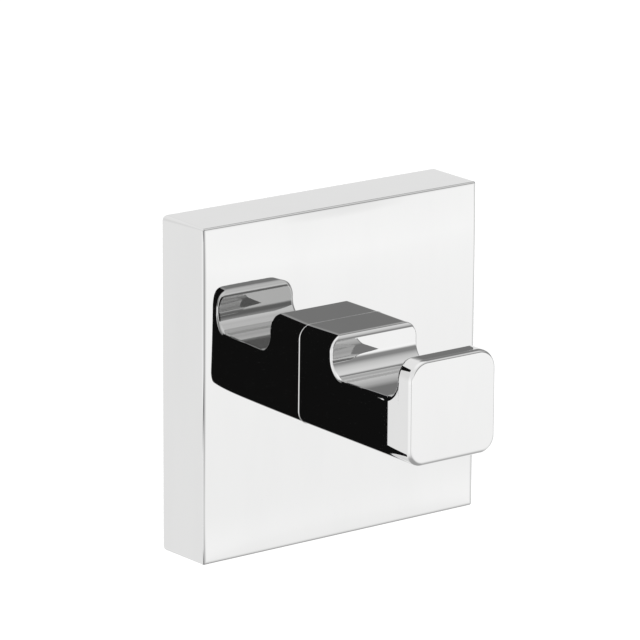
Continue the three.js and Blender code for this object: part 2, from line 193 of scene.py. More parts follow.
class FinishColours(bpy.types.PropertyGroup):
    """Colours of the finishes."""

    chrome: colour("Chrome", "Polished plating", (0.685, 0.685, 0.683))
    plated_inside: colour("Inside", "Thin matt plating inside the cover", (0.42, 0.43, 0.44))
    cast: colour("Cast Grey", "Bare cast adapter", (0.45, 0.47, 0.51))
    pad: colour("Pad", "Foam adhesive pad", (0.74, 0.56, 0.44))
    zinc: colour("Zinc", "Bright zinc plating", (0.85, 0.87, 0.90))
    oxide: colour("Oxide", "Black oxide", (0.045, 0.045, 0.05))
    floor: colour("Floor", "Pale studio floor", (0.95, 0.95, 0.95))


class StageSettings(bpy.types.PropertyGroup):
    """Where the camera stands, and the studio round it."""

    azimuth: angle("Azimuth", "Camera's angle round the hook", -37.5525)
    elevation: angle("Elevation", "Camera's angle above the horizon", 14.9447)
    roll: angle("Roll", "Camera's turn about its own axis", 0.279)
    eye: bpy.props.FloatVectorProperty(
        name="Eye",
        description="Where the camera stands",
        default=(-0.46260, -0.60685, 0.20990),
        size=3,
        subtype="TRANSLATION",
    )
    lens: bpy.props.FloatProperty(
        name="Lens", description="Focal length on a 36 mm sensor", default=274.01, unit="CAMERA"
    )
    floor_drop: length("Floor Drop", "Floor below the hook", 0.5)
    floor_size: length("Floor Size", "Width of the floor", 24.0)


class TowelHookSettings(bpy.types.PropertyGroup):
    """Everything that a user would change."""

    cover: bpy.props.PointerProperty(type=CoverSizes)
    arm: bpy.props.PointerProperty(type=ArmSizes)
    fixing: bpy.props.PointerProperty(type=FixingSizes)
    colours: bpy.props.PointerProperty(type=FinishColours)
    stage: bpy.props.PointerProperty(type=StageSettings)


# Grids and outlines


def quads(rows, columns):
    """Corner numbers of the faces between neighbouring rows of a grid that closes round its columns."""
    start = np.arange(rows - 1)[:, None] * columns
    here = start + np.arange(columns)
    after = start + (np.arange(columns) + 1) % columns
    return np.stack([here, after, after + columns, here + columns], -1).reshape(-1, 4)


def skin(grid):
    """Corners and faces of a closed skin: the grid's rows, joined in order, with both end rows filled in."""
    rows, columns = grid.shape[:2]
    faces = quads(rows, columns).tolist()
    last = (rows - 1) * columns
    faces.append(list(range(columns - 1, -1, -1)))
    faces.append(list(range(last, last + columns)))
    return grid.reshape(-1, 3), faces


def join(*skins):
    """Several closed skins as the corners and faces of one mesh."""
    corners, faces, count = [], [], 0
    for points, polygons in skins:
        corners.append(points)
        faces += [[corner + count for corner in polygon] for polygon in polygons]
        count += len(points)
    return np.concatenate(corners), faces


def outline_weights(corner_steps, side_steps):
    """Weights of a rounded rectangle, anticlockwise seen from the front.

    A point is its corner weight times (half size - radius), plus its direction times the radius.
    Along a side the weight slides from corner to corner; round a corner the direction turns a quarter.
    """
    corners = np.array([[1, 1], [-1, 1], [-1, -1], [1, -1]], float)
    share = np.arange(1, side_steps)[:, None] / side_steps
    weights, directions = [], []
    for quarter in range(4):
        turn = np.linspace(0, QUARTER, corner_steps) + quarter * QUARTER
        arc = np.stack([np.cos(turn), np.sin(turn)], -1)
        here, after = corners[quarter], corners[(quarter + 1) % 4]
        weights += [np.tile(here, (corner_steps, 1)), here + share * (after - here)]
        directions += [arc, np.tile(arc[-1], (side_steps - 1, 1))]
    return np.concatenate(weights), np.concatenate(directions)


def rectangle_rings(half_x, half_z, radius, corner_steps=9, side_steps=2):
    """A stack of rounded rectangles, one for each entry of the half sizes and radii."""
    half_x, half_z, radius = np.broadcast_arrays(*map(np.atleast_1d, (half_x, half_z, radius)))
    weight, direction = outline_weights(corner_steps, side_steps)
    inner = np.stack([half_x - radius, half_z - radius], -1)
    return inner[:, None] * weight + radius[:, None, None] * direction


def stood_out(rings, out, x=0.0, z=0.0):
    """Rings drawn in X and Z, each set at its distance out from the wall."""
    out = np.asarray(out, float)
    out = out[:, None] if out.ndim == 1 else out
    depth = np.broadcast_to(-out, rings.shape[:2])
    return np.stack([rings[..., 0] + x, depth, rings[..., 1] + z], -1)


def circles(radii, count):
    """Rings of the given radii, one for each row; a two-dimensional array gives each point its own."""
    around = np.arange(count) / count * TURN
    radii = np.asarray(radii, float)
    radii = radii[:, None] if radii.ndim == 1 else radii
    return np.stack([radii * np.cos(around), radii * np.sin(around)], -1)


def lathe(radii, out, x=0.0, z=0.0, count=ROUND):
    """A turned skin on an axis out from the wall: a radius, or a ring of radii, for each distance out."""
    return skin(stood_out(circles(radii, count), out, x, z))


def turned(profile, x=0.0, z=0.0, count=ROUND):
    """A turned skin from pairs of a radius and a distance out."""
    radius, out = np.array(profile, float).T
    return lathe(radius, out, x, z, count)


def flared_hole(bore, lead, start, end, x, z):
    """A round hole as a skin to take away, with both mouths widened by a lead."""
    profile = [
        (bore + 2 * lead, start - lead),
        (bore, start + lead),
        (bore, end - lead),
        (bore + 2 * lead, end + lead),
    ]
    return turned(profile, x, z)


def upright(radii, height, out, count=ROUND):
    """A turned skin on a vertical axis: a radius, or a ring of radii, for each height."""
    rings = circles(radii, count)
    high = np.broadcast_to(np.asarray(height, float)[:, None], rings.shape[:2])
    return skin(np.stack([rings[..., 0], rings[..., 1] - out, high], -1))


def ring_skin(radii, out, x, count):
    """A turned skin that closes on itself: its last ring joins its first."""
    grid = stood_out(circles(radii, count), out, x)
    faces = quads(len(grid) + 1, count) % (len(grid) * count)
    return grid.reshape(-1, 3), faces.tolist()


def eased(points, radius, steps=5):
    """A profile with its inner corners rounded.

    Each corner gives way to a quadratic curve between the points that lie one radius before and after it.
    """
    points = np.array(points, float)
    before, corner, after = points[:-2], points[1:-1], points[2:]
    to_before, to_after = before - corner, after - corner
    reach_before = np.linalg.norm(to_before, axis=1, keepdims=True)
    reach_after = np.linalg.norm(to_after, axis=1, keepdims=True)
    start = corner + to_before / reach_before * np.minimum(radius, 0.45 * reach_before)
    end = corner + to_after / reach_after * np.minimum(radius, 0.45 * reach_after)
    share = np.linspace(0, 1, steps)[None, :, None]
    bend = (
        (1 - share) ** 2 * start[:, None]
        + 2 * share * (1 - share) * corner[:, None]
        + share**2 * end[:, None]
    )
    return np.concatenate([points[:1], bend.reshape(-1, 2), points[-1:]])


def thread(radius, pitch, start, end, count, per_turn=10):
    """Radii and heights of a thread.

    The radius falls by 0.6 of a pitch, times a raised cosine of height over pitch less angle over a turn,
    and the groove fades out over one pitch at both ends.
    """
    steps = max(2, int(abs(end - start) / pitch * per_turn))
    along = np.linspace(start, end, steps)
    phase = along[:, None] / pitch - np.arange(count) / count
    run_in = np.clip(np.minimum(abs(along - start), abs(along - end)) / pitch, 0, 1)
    groove = 0.5 - 0.5 * np.cos(TURN * phase)
    return radius - 0.6 * pitch * run_in[:, None] * groove, along


def threaded(head, radius, pitch, end, point, count=60):
    """Radii and distances of a screw: the head's profile, a threaded shank and a bevelled point."""
    head = np.array(head, float)
    groove, along = thread(radius, pitch, head[-1, 1], end - point, count)
    tail = np.array([[radius - point, end], [radius - 2.2 * point, end]])
    plain = np.repeat(np.concatenate([head[:-1], tail])[:, :1], count, 1)
    radii = np.concatenate([plain[: len(head) - 1], groove, plain[len(head) - 1 :]])
    return radii, np.concatenate([head[:-1, 1], along, tail[:, 1]])


# Meshes


def mesh_object(name, corners, faces):
    """A new object whose place is in its mesh."""
    mesh = bpy.data.meshes.new(name)
    mesh.from_pydata(np.asarray(corners).tolist(), [], faces)
    mesh.update()
    piece = bpy.data.objects.new(name, mesh)
    bpy.context.scene.collection.objects.link(piece)
    return piece


def keep_shape(piece):
    """Puts what the piece's modifiers make into its mesh."""
    shown = piece.evaluated_get(bpy.context.evaluated_depsgraph_get())
    made, old = bpy.data.meshes.new_from_object(shown), piece.data
    piece.modifiers.clear()
    piece.data = made
    bpy.data.meshes.remove(old)


def cut(piece, operation, *skins):
    """Adds solids to a piece, or takes them away, one after another, and keeps the result as its mesh."""
    for corners, faces in skins:
        tool = mesh_object("tool", corners, faces)
        step = piece.modifiers.new("step", "BOOLEAN")
        step.operation, step.solver, step.object = operation, "EXACT", tool
        keep_shape(piece)
        tool_mesh = tool.data
        bpy.data.objects.remove(tool)
        bpy.data.meshes.remove(tool_mesh)
    return piece


def smooth(piece, sharp=32.0, bevel=0.0):
    """Smooth shading that stays crisp at sharp edges and flat on flats; a bevel softens the edges first.

    Before that, faces of more than four sides are split and doubled points joined, so cuts leave no slivers.
    """
    piece.modifiers.new("split", "TRIANGULATE").min_vertices = 5
    piece.modifiers.new("joined", "WELD").merge_threshold = 0.002 * MM
    keep_shape(piece)
    mesh = piece.data
    mesh.polygons.foreach_set("use_smooth", np.ones(len(mesh.polygons), bool))
    mesh.set_sharp_from_angle(angle=math.radians(sharp))
    if bevel:
        plain = piece.modifiers.new("plain", "DECIMATE")
        plain.decimate_type, plain.angle_limit = "DISSOLVE", math.radians(1)
        soft = piece.modifiers.new("edges", "BEVEL")
        soft.width, soft.segments, soft.limit_method = bevel, 2, "ANGLE"
        soft.angle_limit = math.radians(sharp)
    flat = piece.modifiers.new("flats", "WEIGHTED_NORMAL")
    flat.keep_sharp = True
    return piece


def place(piece, body, node, material):
    """The piece rides on its body in its node's stead, and wears its finish."""
    piece.data.materials.clear()
    piece.data.materials.append(material)
    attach(piece, body)
    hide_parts(node)
    return piece


# Finishes


def feed(tree, socket, value):
    """Joins an input to a socket, or sets it to a value."""
    if isinstance(value, bpy.types.NodeSocket):
        tree.links.new(value, socket)
    else:
        socket.default_value = value


def add_node(tree, kind, **values):
    """A node with its named inputs set to values, or joined to sockets."""
    node = tree.nodes.new(kind)
    for key, value in values.items():
        feed(tree, node.inputs[key.replace("_", " ")], value)
    return node


def mixed(tree, share, first, second):
    """A colour between two, by a share."""
    node = tree.nodes.new("ShaderNodeMix")
    node.data_type = "RGBA"
    tree.links.new(share, node.inputs[0])
    for socket, value in zip(node.inputs[6:8], (first, second)):
        feed(tree, socket, value if isinstance(value, bpy.types.NodeSocket) else (*value, 1.0))
    return node.outputs[2]


def ranged(tree, value, low, high, start=0.0, end=1.0):
    """A value carried from the range start to end into the range low to high, and kept inside it."""
    limits = {"From_Min": start, "From_Max": end, "To_Min": low, "To_Max": high}
    return add_node(tree, "ShaderNodeMapRange", Value=value, **limits).outputs["Result"]


def math_node(tree, operation, first, second=0.0):
    """One sum of two numbers or sockets."""
    node = tree.nodes.new("ShaderNodeMath")
    node.operation = operation
    for socket, value in zip(node.inputs, (first, second)):
        feed(tree, socket, value)
    return node.outputs[0]


def product(tree, *factors):
    """Several numbers or sockets multiplied."""
    result = factors[0]
    for factor in factors[1:]:
        result = math_node(tree, "MULTIPLY", result, factor)
    return result


def between(tree, value, low, high, low_soft, high_soft):
    """1 from a low to a high value, falling to 0 over a soft edge on both sides."""
    rise = ranged(tree, value, 0, 1, low - low_soft, low)
    fall = ranged(tree, value, 1, 0, high, high + high_soft)
    rise.node.interpolation_type = fall.node.interpolation_type = "SMOOTHSTEP"
    return product(tree, rise, fall)


def noise(tree, vector, scale, detail, roughness=0.5):
    """A noise of a given scale."""
    values = {"Vector": vector, "Scale": scale, "Detail": detail, "Roughness": roughness}
    return add_node(tree, "ShaderNodeTexNoise", **values).outputs["Fac"]


def axes_of(tree, vector):
    """The X, Y and Z of a vector."""
    return add_node(tree, "ShaderNodeSeparateXYZ", Vector=vector).outputs


def new_group(name, inputs, outputs):
    """An empty shader group with a vector input, number inputs and number outputs."""
    group = bpy.data.node_groups.new(name, "ShaderNodeTree")
    group.interface.new_socket("Vector", in_out="INPUT", socket_type="NodeSocketVector")
    for label, default in inputs:
        socket = group.interface.new_socket(label, in_out="INPUT", socket_type="NodeSocketFloat")
        socket.default_value = default
    for label in outputs:
        group.interface.new_socket(label, in_out="OUTPUT", socket_type="NodeSocketFloat")
    return group, group.nodes.new("NodeGroupInput"), group.nodes.new("NodeGroupOutput")


def polish_group():
    """Hand polish: slow waves that bend a reflection slightly, and faint wiping marks."""
    found = bpy.data.node_groups.get("Polish")
    if found:
        return found
    group, given, result = new_group(
        "Polish", [("Wave Scale", 70.0), ("Smear Scale", 160.0)], ["Wave", "Smear"]
    )
    vector, wave_scale, smear_scale = given.outputs[:3]
    wave = noise(group, vector, wave_scale, 1.0)
    stretch = add_node(group, "ShaderNodeMapping", Vector=vector, Scale=(1.0, 1.0, 0.25))
    smear = noise(group, stretch.outputs["Vector"], smear_scale, 4.0, 0.6)
    group.links.new(wave, result.inputs["Wave"])
    group.links.new(ranged(group, smear, 0, 1, 0.42, 0.75), result.inputs["Smear"])
    return group


def grain_group():
    """Grain: fine pits between rounded cells, over broad cloudy patches."""
    found = bpy.data.node_groups.get("Grain")
    if found:
        return found
    group, given, result = new_group(
        "Grain", [("Grain Scale", 2500.0), ("Patch Scale", 120.0)], ["Grain", "Patch"]
    )
    vector, grain_scale, patch_scale = given.outputs[:3]
    cells = add_node(group, "ShaderNodeTexVoronoi", Vector=vector, Scale=grain_scale)
    grain = product(group, cells.outputs["Distance"], noise(group, vector, grain_scale, 3.0))
    patch = noise(group, vector, patch_scale, 3.0)
    group.links.new(ranged(group, grain, 0, 1, 0.05, 0.5), result.inputs["Grain"])
    group.links.new(ranged(group, patch, 0, 1, 0.35, 0.65), result.inputs["Patch"])
    return group


def place_group(tree, group, **values):
    """A group placed in a material, on Object coordinates."""
    node = tree.nodes.new("ShaderNodeGroup")
    node.node_tree = group
    where = tree.nodes.new("ShaderNodeTexCoord")
    tree.links.new(where.outputs["Object"], node.inputs["Vector"])
    for key, value in values.items():
        node.inputs[key.replace("_", " ")].default_value = value
    return node, where.outputs["Object"]


def new_material(name):
    """A material with its shader, ready for nodes; the second result is its node tree."""
    material = bpy.data.materials.new(name)
    material.use_nodes = True
    return material, material.node_tree, material.node_tree.nodes["Principled BSDF"]


def bumped(tree, shader, height, distance):
    """Relief of a given depth on the shader's normal."""
    bump = add_node(tree, "ShaderNodeBump", Height=height, Distance=distance, Strength=1.0)
    tree.links.new(bump.outputs["Normal"], shader.inputs["Normal"])


def inside_mask(tree, axes, cover):
    """1 on the surfaces of the cavity: within the side walls, and behind the middle of the front wall."""
    wall = cover.width / 2 - cover.side_wall + 0.04 * MM
    mask = math_node(tree, "GREATER_THAN", axes["Y"], cover.front_wall / 2 - cover.depth)
    for axis in ("X", "Z"):
        distance = math_node(tree, "ABSOLUTE", axes[axis])
        mask = product(tree, mask, math_node(tree, "LESS_THAN", distance, wall))
    return mask


def painted_edge_reflection(tree, axes, cover):
    """A painted reflection: a fine dark line inside the face's four edges, each of its own strength.

    It grows with the cube of the nearness to an edge, fades on the bevel and stays on the front of the cover.
    """
    # Painted reflection: base colour darkened along the edges in place of the dark surroundings that the
    # rounded edges would reflect
    half, bevel, line = cover.width / 2, cover.front_edge, 0.0
    begins, full, left_over = 0.75 * MM, 0.3 * MM, 0.3
    for axis, sign, strength in (("X", -1, 0.55), ("X", 1, 0.35), ("Z", 1, 0.15), ("Z", -1, 0.35)):
        place_on = product(tree, axes[axis], sign)
        near = ranged(tree, place_on, 0, 1, half - begins, half - full)
        past = ranged(tree, place_on, strength, left_over * strength, half - bevel, half)
        edge = product(tree, math_node(tree, "POWER", near, 3), past)
        line = math_node(tree, "MAXIMUM", line, edge)
    return product(tree, line, ranged(tree, axes["Y"], 0, 1, bevel - cover.depth, -cover.depth))


def chrome_finish(inside):
    """Mirror chrome with faint wiping marks and slow waves; inside the cover the plating is thin and matt."""
    name = "chrome_cover" if inside else "chrome_arm"
    found = bpy.data.materials.get(name)
    if found:
        return found
    settings = bpy.context.scene.towel_hook
    bright = tuple(settings.colours.chrome)
    worn = tuple(0.985 * part for part in bright)
    material, tree, shader = new_material(name)
    polish, where = place_group(tree, polish_group())
    smear, wave = polish.outputs["Smear"], polish.outputs["Wave"]
    base, rough = mixed(tree, smear, bright, worn), ranged(tree, smear, 0.012, 0.022)
    if inside:
        axes, matt = axes_of(tree, where), 0.38
        mask = inside_mask(tree, axes, settings.cover)
        base = mixed(tree, mask, base, tuple(settings.colours.plated_inside))
        rough = math_node(tree, "ADD", rough, product(tree, mask, matt))
        # Painted reflection: the face's edges are darkened in the base colour, as if they reflected dark
        # surroundings
        base = mixed(tree, painted_edge_reflection(tree, axes, settings.cover), base, (0.0, 0.0, 0.0))
    tree.links.new(base, shader.inputs["Base Color"])
    tree.links.new(rough, shader.inputs["Roughness"])
    shader.inputs["Metallic"].default_value = 1.0
    bumped(tree, shader, wave, 0.008 * MM)
    return material


def grained_finish(name, tint, shade, rough, metallic, grain_scale, patch_scale, depth):
    """A matt finish: the tint darkens in patches and pits, and the pits are sunk into the surface."""
    found = bpy.data.materials.get(name)
    if found:
        return found
    material, tree, shader = new_material(name)
    grain, _ = place_group(tree, grain_group(), Grain_Scale=grain_scale, Patch_Scale=patch_scale)
    tint = np.array(tint)
    cloudy = mixed(tree, grain.outputs["Patch"], tuple(tint), tuple(shade * tint))
    base = mixed(tree, grain.outputs["Grain"], tuple(0.9 * shade * tint), cloudy)
    tree.links.new(base, shader.inputs["Base Color"])
    tree.links.new(ranged(tree, grain.outputs["Patch"], *rough), shader.inputs["Roughness"])
    shader.inputs["Metallic"].default_value = metallic
    bumped(tree, shader, grain.outputs["Grain"], depth)
    return material


def cast_finish():
    """Bare die-cast grey with a fine satin grain, and a painted highlight along the rim's inner lip."""
    hook = bpy.context.scene.towel_hook
    material = grained_finish(
        "cast_metal", hook.colours.cast, 0.92, (0.3, 0.4), 0.85, 3600.0, 140.0, 0.006 * MM
    )
    tree = material.node_tree
    shader = tree.nodes["Principled BSDF"]
    axes = axes_of(tree, tree.nodes.new("ShaderNodeTexCoord").outputs["Object"])
    squares = [product(tree, axes[axis], axes[axis]) for axis in ("X", "Z")]
    radius = math_node(tree, "SQRT", math_node(tree, "ADD", *squares))
    lip = ADAPTER_HIGH.x - hook.fixing.adapter_rim
    # Painted highlight: a ring along the rim's inner lip, near the wall side, gets a near-white base colour;
    # it is also made smoother, with a lower roughness
    ring = between(tree, radius, lip - 0.3 * MM, lip + 0.1 * MM, 0.2 * MM, 0.3 * MM)
    painted_lip_highlight = product(tree, ring, ranged(tree, axes["Y"], 0, 0.8, -0.9 * MM, -0.6 * MM))
    for socket, bright in (("Base Color", (0.9, 0.91, 0.93)), ("Roughness", (0.2, 0.2, 0.2))):
        plain = shader.inputs[socket].links[0].from_socket
        tree.links.new(mixed(tree, painted_lip_highlight, plain, bright), shader.inputs[socket])
    return material


def pad_finish():
    """Tan foam with open cells and a dry, papery surface."""
    tint = bpy.context.scene.towel_hook.colours.pad
    return grained_finish("pad_foam", tint, 0.94, (0.85, 0.97), 0.0, 2600.0, 160.0, 0.03 * MM)


def zinc_finish():
    """Bright zinc plating, slightly clouded."""
    tint = bpy.context.scene.towel_hook.colours.zinc
    return grained_finish("zinc_plating", tint, 0.95, (0.27, 0.33), 1.0, 5200.0, 420.0, 0.002 * MM)


def oxide_finish():
    """Black oxide with an oily, slightly uneven sheen."""
    tint = bpy.context.scene.towel_hook.colours.oxide
    return grained_finish("black_oxide", tint, 0.7, (0.3, 0.45), 0.9, 4200.0, 500.0, 0.004 * MM)


# Cover and arm


def crown_height(x, z, cover):
    """How far the face stands proud of its edges.

    A dome that falls with the square of the distance sideways and the eighth power of the distance up or
    down, plus a roll that stays flat until close to the edges and falls with the thirteenth power. Both end
    on the edges. A shallow wave leans the middle upwards, fades out above and below and stops at the sides.
    """
    u, v = np.abs(2 * x / cover.width), np.abs(2 * z / cover.width)
    dome = (1 - u**2) * (1 - v**8)
    rolled = (1 - u**13) * (1 - v**13)
    wave = cover.wave * z * np.clip(1 - v**8, 0, None) ** 2 * np.clip(1 - u**60, 0, None)
    return cover.crown * np.clip(dome, 0, None) + cover.roll * np.clip(rolled, 0, None) + wave


def cover_skin(cover):
    """The shell as one profile carried round a rounded square.

    It starts on the inner face, runs back along the inner wall, round the wall side's edge, out along the
    drafted side and over the front bevel, and closes in rings that shrink to the middle of the crowned face.
    """
    half, depth = cover.width / 2, cover.depth
    inner = half - cover.side_wall
    floor_out = depth - cover.front_wall
    arc = np.linspace(0, QUARTER, 7)
    fillet, lip, corner = cover.cavity_fillet, cover.cavity_lip, cover.cavity_corner
    shrunk = fillet * (1 - np.sin(arc))
    inner_half = np.concatenate([inner - shrunk, [inner, inner + lip]])
    inner_out = np.concatenate([floor_out - fillet * (1 - np.cos(arc)), [lip, 0.0]])
    inner_corner = np.concatenate([corner - shrunk, [corner, corner + lip / 3]])
    back, front = cover.back_edge, cover.front_edge
    back_out = back * (1 - np.cos(arc))
    back_inset = back * (1 - np.sin(arc))
    bevel = [(0, depth - 3 * front), (0, depth - front), (front, depth), (3 * front, depth)]
    front_inset, front_out = eased(bevel, 0.35 * front)[1:-1].T
    outer_out = np.concatenate([back_out, front_out])
    inset = np.concatenate([back_inset, front_inset])
    outer_half = half + cover.draft * (depth - outer_out) / depth - inset
    outer_corner = cover.corner + (cover.face_corner - cover.corner) * outer_out / depth - 0.9 * inset
    share = 1 - 0.985 * np.linspace(0, 1, 57)[1:] ** 1.5
    halves = np.concatenate([inner_half, outer_half, outer_half[-1] * share])
    corners = np.concatenate([inner_corner, outer_corner, outer_corner[-1] * share])
    rings = rectangle_rings(halves, halves, corners, side_steps=40)
    out = np.concatenate([inner_out, outer_out, np.full(len(share), depth)])[:, None]
    out = np.repeat(out, rings.shape[1], 1)
    face = rings[-len(share) - len(front_out) :]
    out[-len(face) :] += crown_height(face[..., 0], face[..., 1], cover)
    return skin(stood_out(rings, out))


def block(half_x, low, high, start, end, corner, edge):
    """A rounded block: a rounded rectangle carried outwards, drawn in at both ends."""
    inset = np.array([edge, 0, 0, edge])
    out = np.array([start, start + edge, end - edge, end])
    half_z = (high - low) / 2
    rings = rectangle_rings(half_x - inset, half_z - inset, np.full(4, corner) - 0.5 * inset)
    return skin(stood_out(rings, out, 0.0, (low + high) / 2))


class TOWELHOOK_OT_cover(bpy.types.Operator):
    """Makes the hollow cover plate with its hanger rib and grub screw boss"""

    bl_idname = "towel_hook.cover"
    bl_label = "Cover Plate"

    def execute(self, context):
        hook = context.scene.towel_hook
        cover, arm = hook.cover, hook.arm
        inner = cover.width / 2 - cover.side_wall
        root = cover.depth - cover.front_wall / 2
        piece = mesh_object("plate_shell", *cover_skin(cover))
        seat, top = BRACKET_HIGH.z + 0.1 * MM, cover.boss_height - inner
        edge, hanger_corner, boss_corner, lead = cover.rib_edge, 0.5 * MM, 0.8 * MM, 0.35 * MM
        rib = seat, seat + cover.hanger_height, cover.hanger_back, root, hanger_corner, edge
        boss = -inner - CUT_PAST, top, cover.boss_back, root, boss_corner, edge
        cut(piece, "UNION", block(cover.hanger_width / 2, *rib), block(cover.boss_width / 2, *boss))
        heights = PLATE_LOW.z - lead, PLATE_LOW.z + lead, top + CUT_PAST
        grub_bore = upright([M4_BORE + 2 * lead, M4_BORE, M4_BORE], heights, cover.grub_out)
        through = root - 2 * CUT_PAST, cover.depth + 2 * CUT_PAST
        peg_bore = arm.peg_radius + 0.15 * MM
        peg_bores = [lathe([peg_bore] * 2, through, sign * arm.peg_spacing / 2) for _, sign in SIDES]
        cut(piece, "DIFFERENCE", grub_bore, lathe([M5_BORE] * 2, through), *peg_bores)
        smooth(piece, 28.0)
        place(piece, "hook", "cover_plate", chrome_finish(True))
        return {"FINISHED"}


def arc_run(centre, radius, start, end, steps, side):
    """An arc in out and Z with its normal: the spoke times side, 1 outwards and -1 inwards."""
    turn = np.linspace(start, end, steps)
    spoke = np.stack([np.cos(turn), np.sin(turn)], -1)
    return np.concatenate([np.asarray(centre) + radius * spoke, side * spoke], -1)


def straight_run(start, end, normal, steps):
    """A line in out and Z with its normal."""
    share = np.linspace(0, 1, steps)[:, None]
    points = np.asarray(start) + share * (np.asarray(end) - np.asarray(start))
    return np.concatenate([points, np.tile(normal, (steps, 1))], -1)


def arm_upper_line(arm, plate_out, top, first, last):
    """The arm's upper line seen from the side, foot to tip: top, rear wall, floor, tip wall and tip.

    Straight runs and quarter arcs meet in tangents. Each row has out, Z and the normal in out and Z.
    """
    back, front = plate_out + arm.notch_back, plate_out + arm.notch_front
    floor, fillet = arm.notch_floor, arm.notch_fillet
    rear, tip = arm.back_round, arm.tip_round
    half = math.pi
    runs = [
        straight_run((first, top), (back - rear, top), (0, 1), 14),
        arc_run((back - rear, top - rear), rear, QUARTER, 0, 15, 1),
        straight_run((back, top - rear), (back, floor + fillet), (1, 0), 6),
        arc_run((back + fillet, floor + fillet), fillet, half, half + QUARTER, 17, -1),
        straight_run((back + fillet, floor), (front - fillet, floor), (0, 1), 14),
        arc_run((front - fillet, floor + fillet), fillet, half + QUARTER, 2 * half, 17, -1),
        straight_run((front, floor + fillet), (front, top - tip), (-1, 0), 7),
        arc_run((front + tip, top - tip), tip, half, QUARTER, 13, 1),
        straight_run((front + tip, top), (last, top), (0, 1), 6),
    ]
    return np.concatenate([runs[0]] + [run[1:] for run in runs[1:]])


def with_foot(arm, cover, points, normals):
    """The half rings with those of the foot before them.

    A hollow quarter arc flares the first ring onto the plate's crowned face, most at the sides.
    """
    flare = arm.top_flare + (arm.foot_flare - arm.top_flare) * normals[0, :, 0] ** 2
    turn = np.linspace(QUARTER, 0, 9)[:, None]
    grid = points[0] + (flare * (1 - np.cos(turn)))[..., None] * normals[0]
    sunk = cover.depth - 0.01 * MM
    grid[..., 1] = sunk + crown_height(grid[..., 0], grid[..., 2], cover) + flare * (1 - np.sin(turn))
    hollow = np.cos(turn)[..., None] * normals[0] + np.sin(turn)[..., None] * Y_AXIS
    return np.concatenate([grid, points]), np.concatenate([hollow, normals])


def both_sides(points, normals):
    """Half rings joined to their mirror images, with distances out turned into Y."""
    mirror, to_world = np.array([-1.0, 1.0, 1.0]), np.array([1.0, -1.0, 1.0])
    points = np.concatenate([points[:, ::-1], points * mirror], 1)
    normals = np.concatenate([normals[:, ::-1], normals * mirror], 1)
    normals /= np.linalg.norm(normals, axis=-1, keepdims=True)
    return points * to_world, normals * to_world


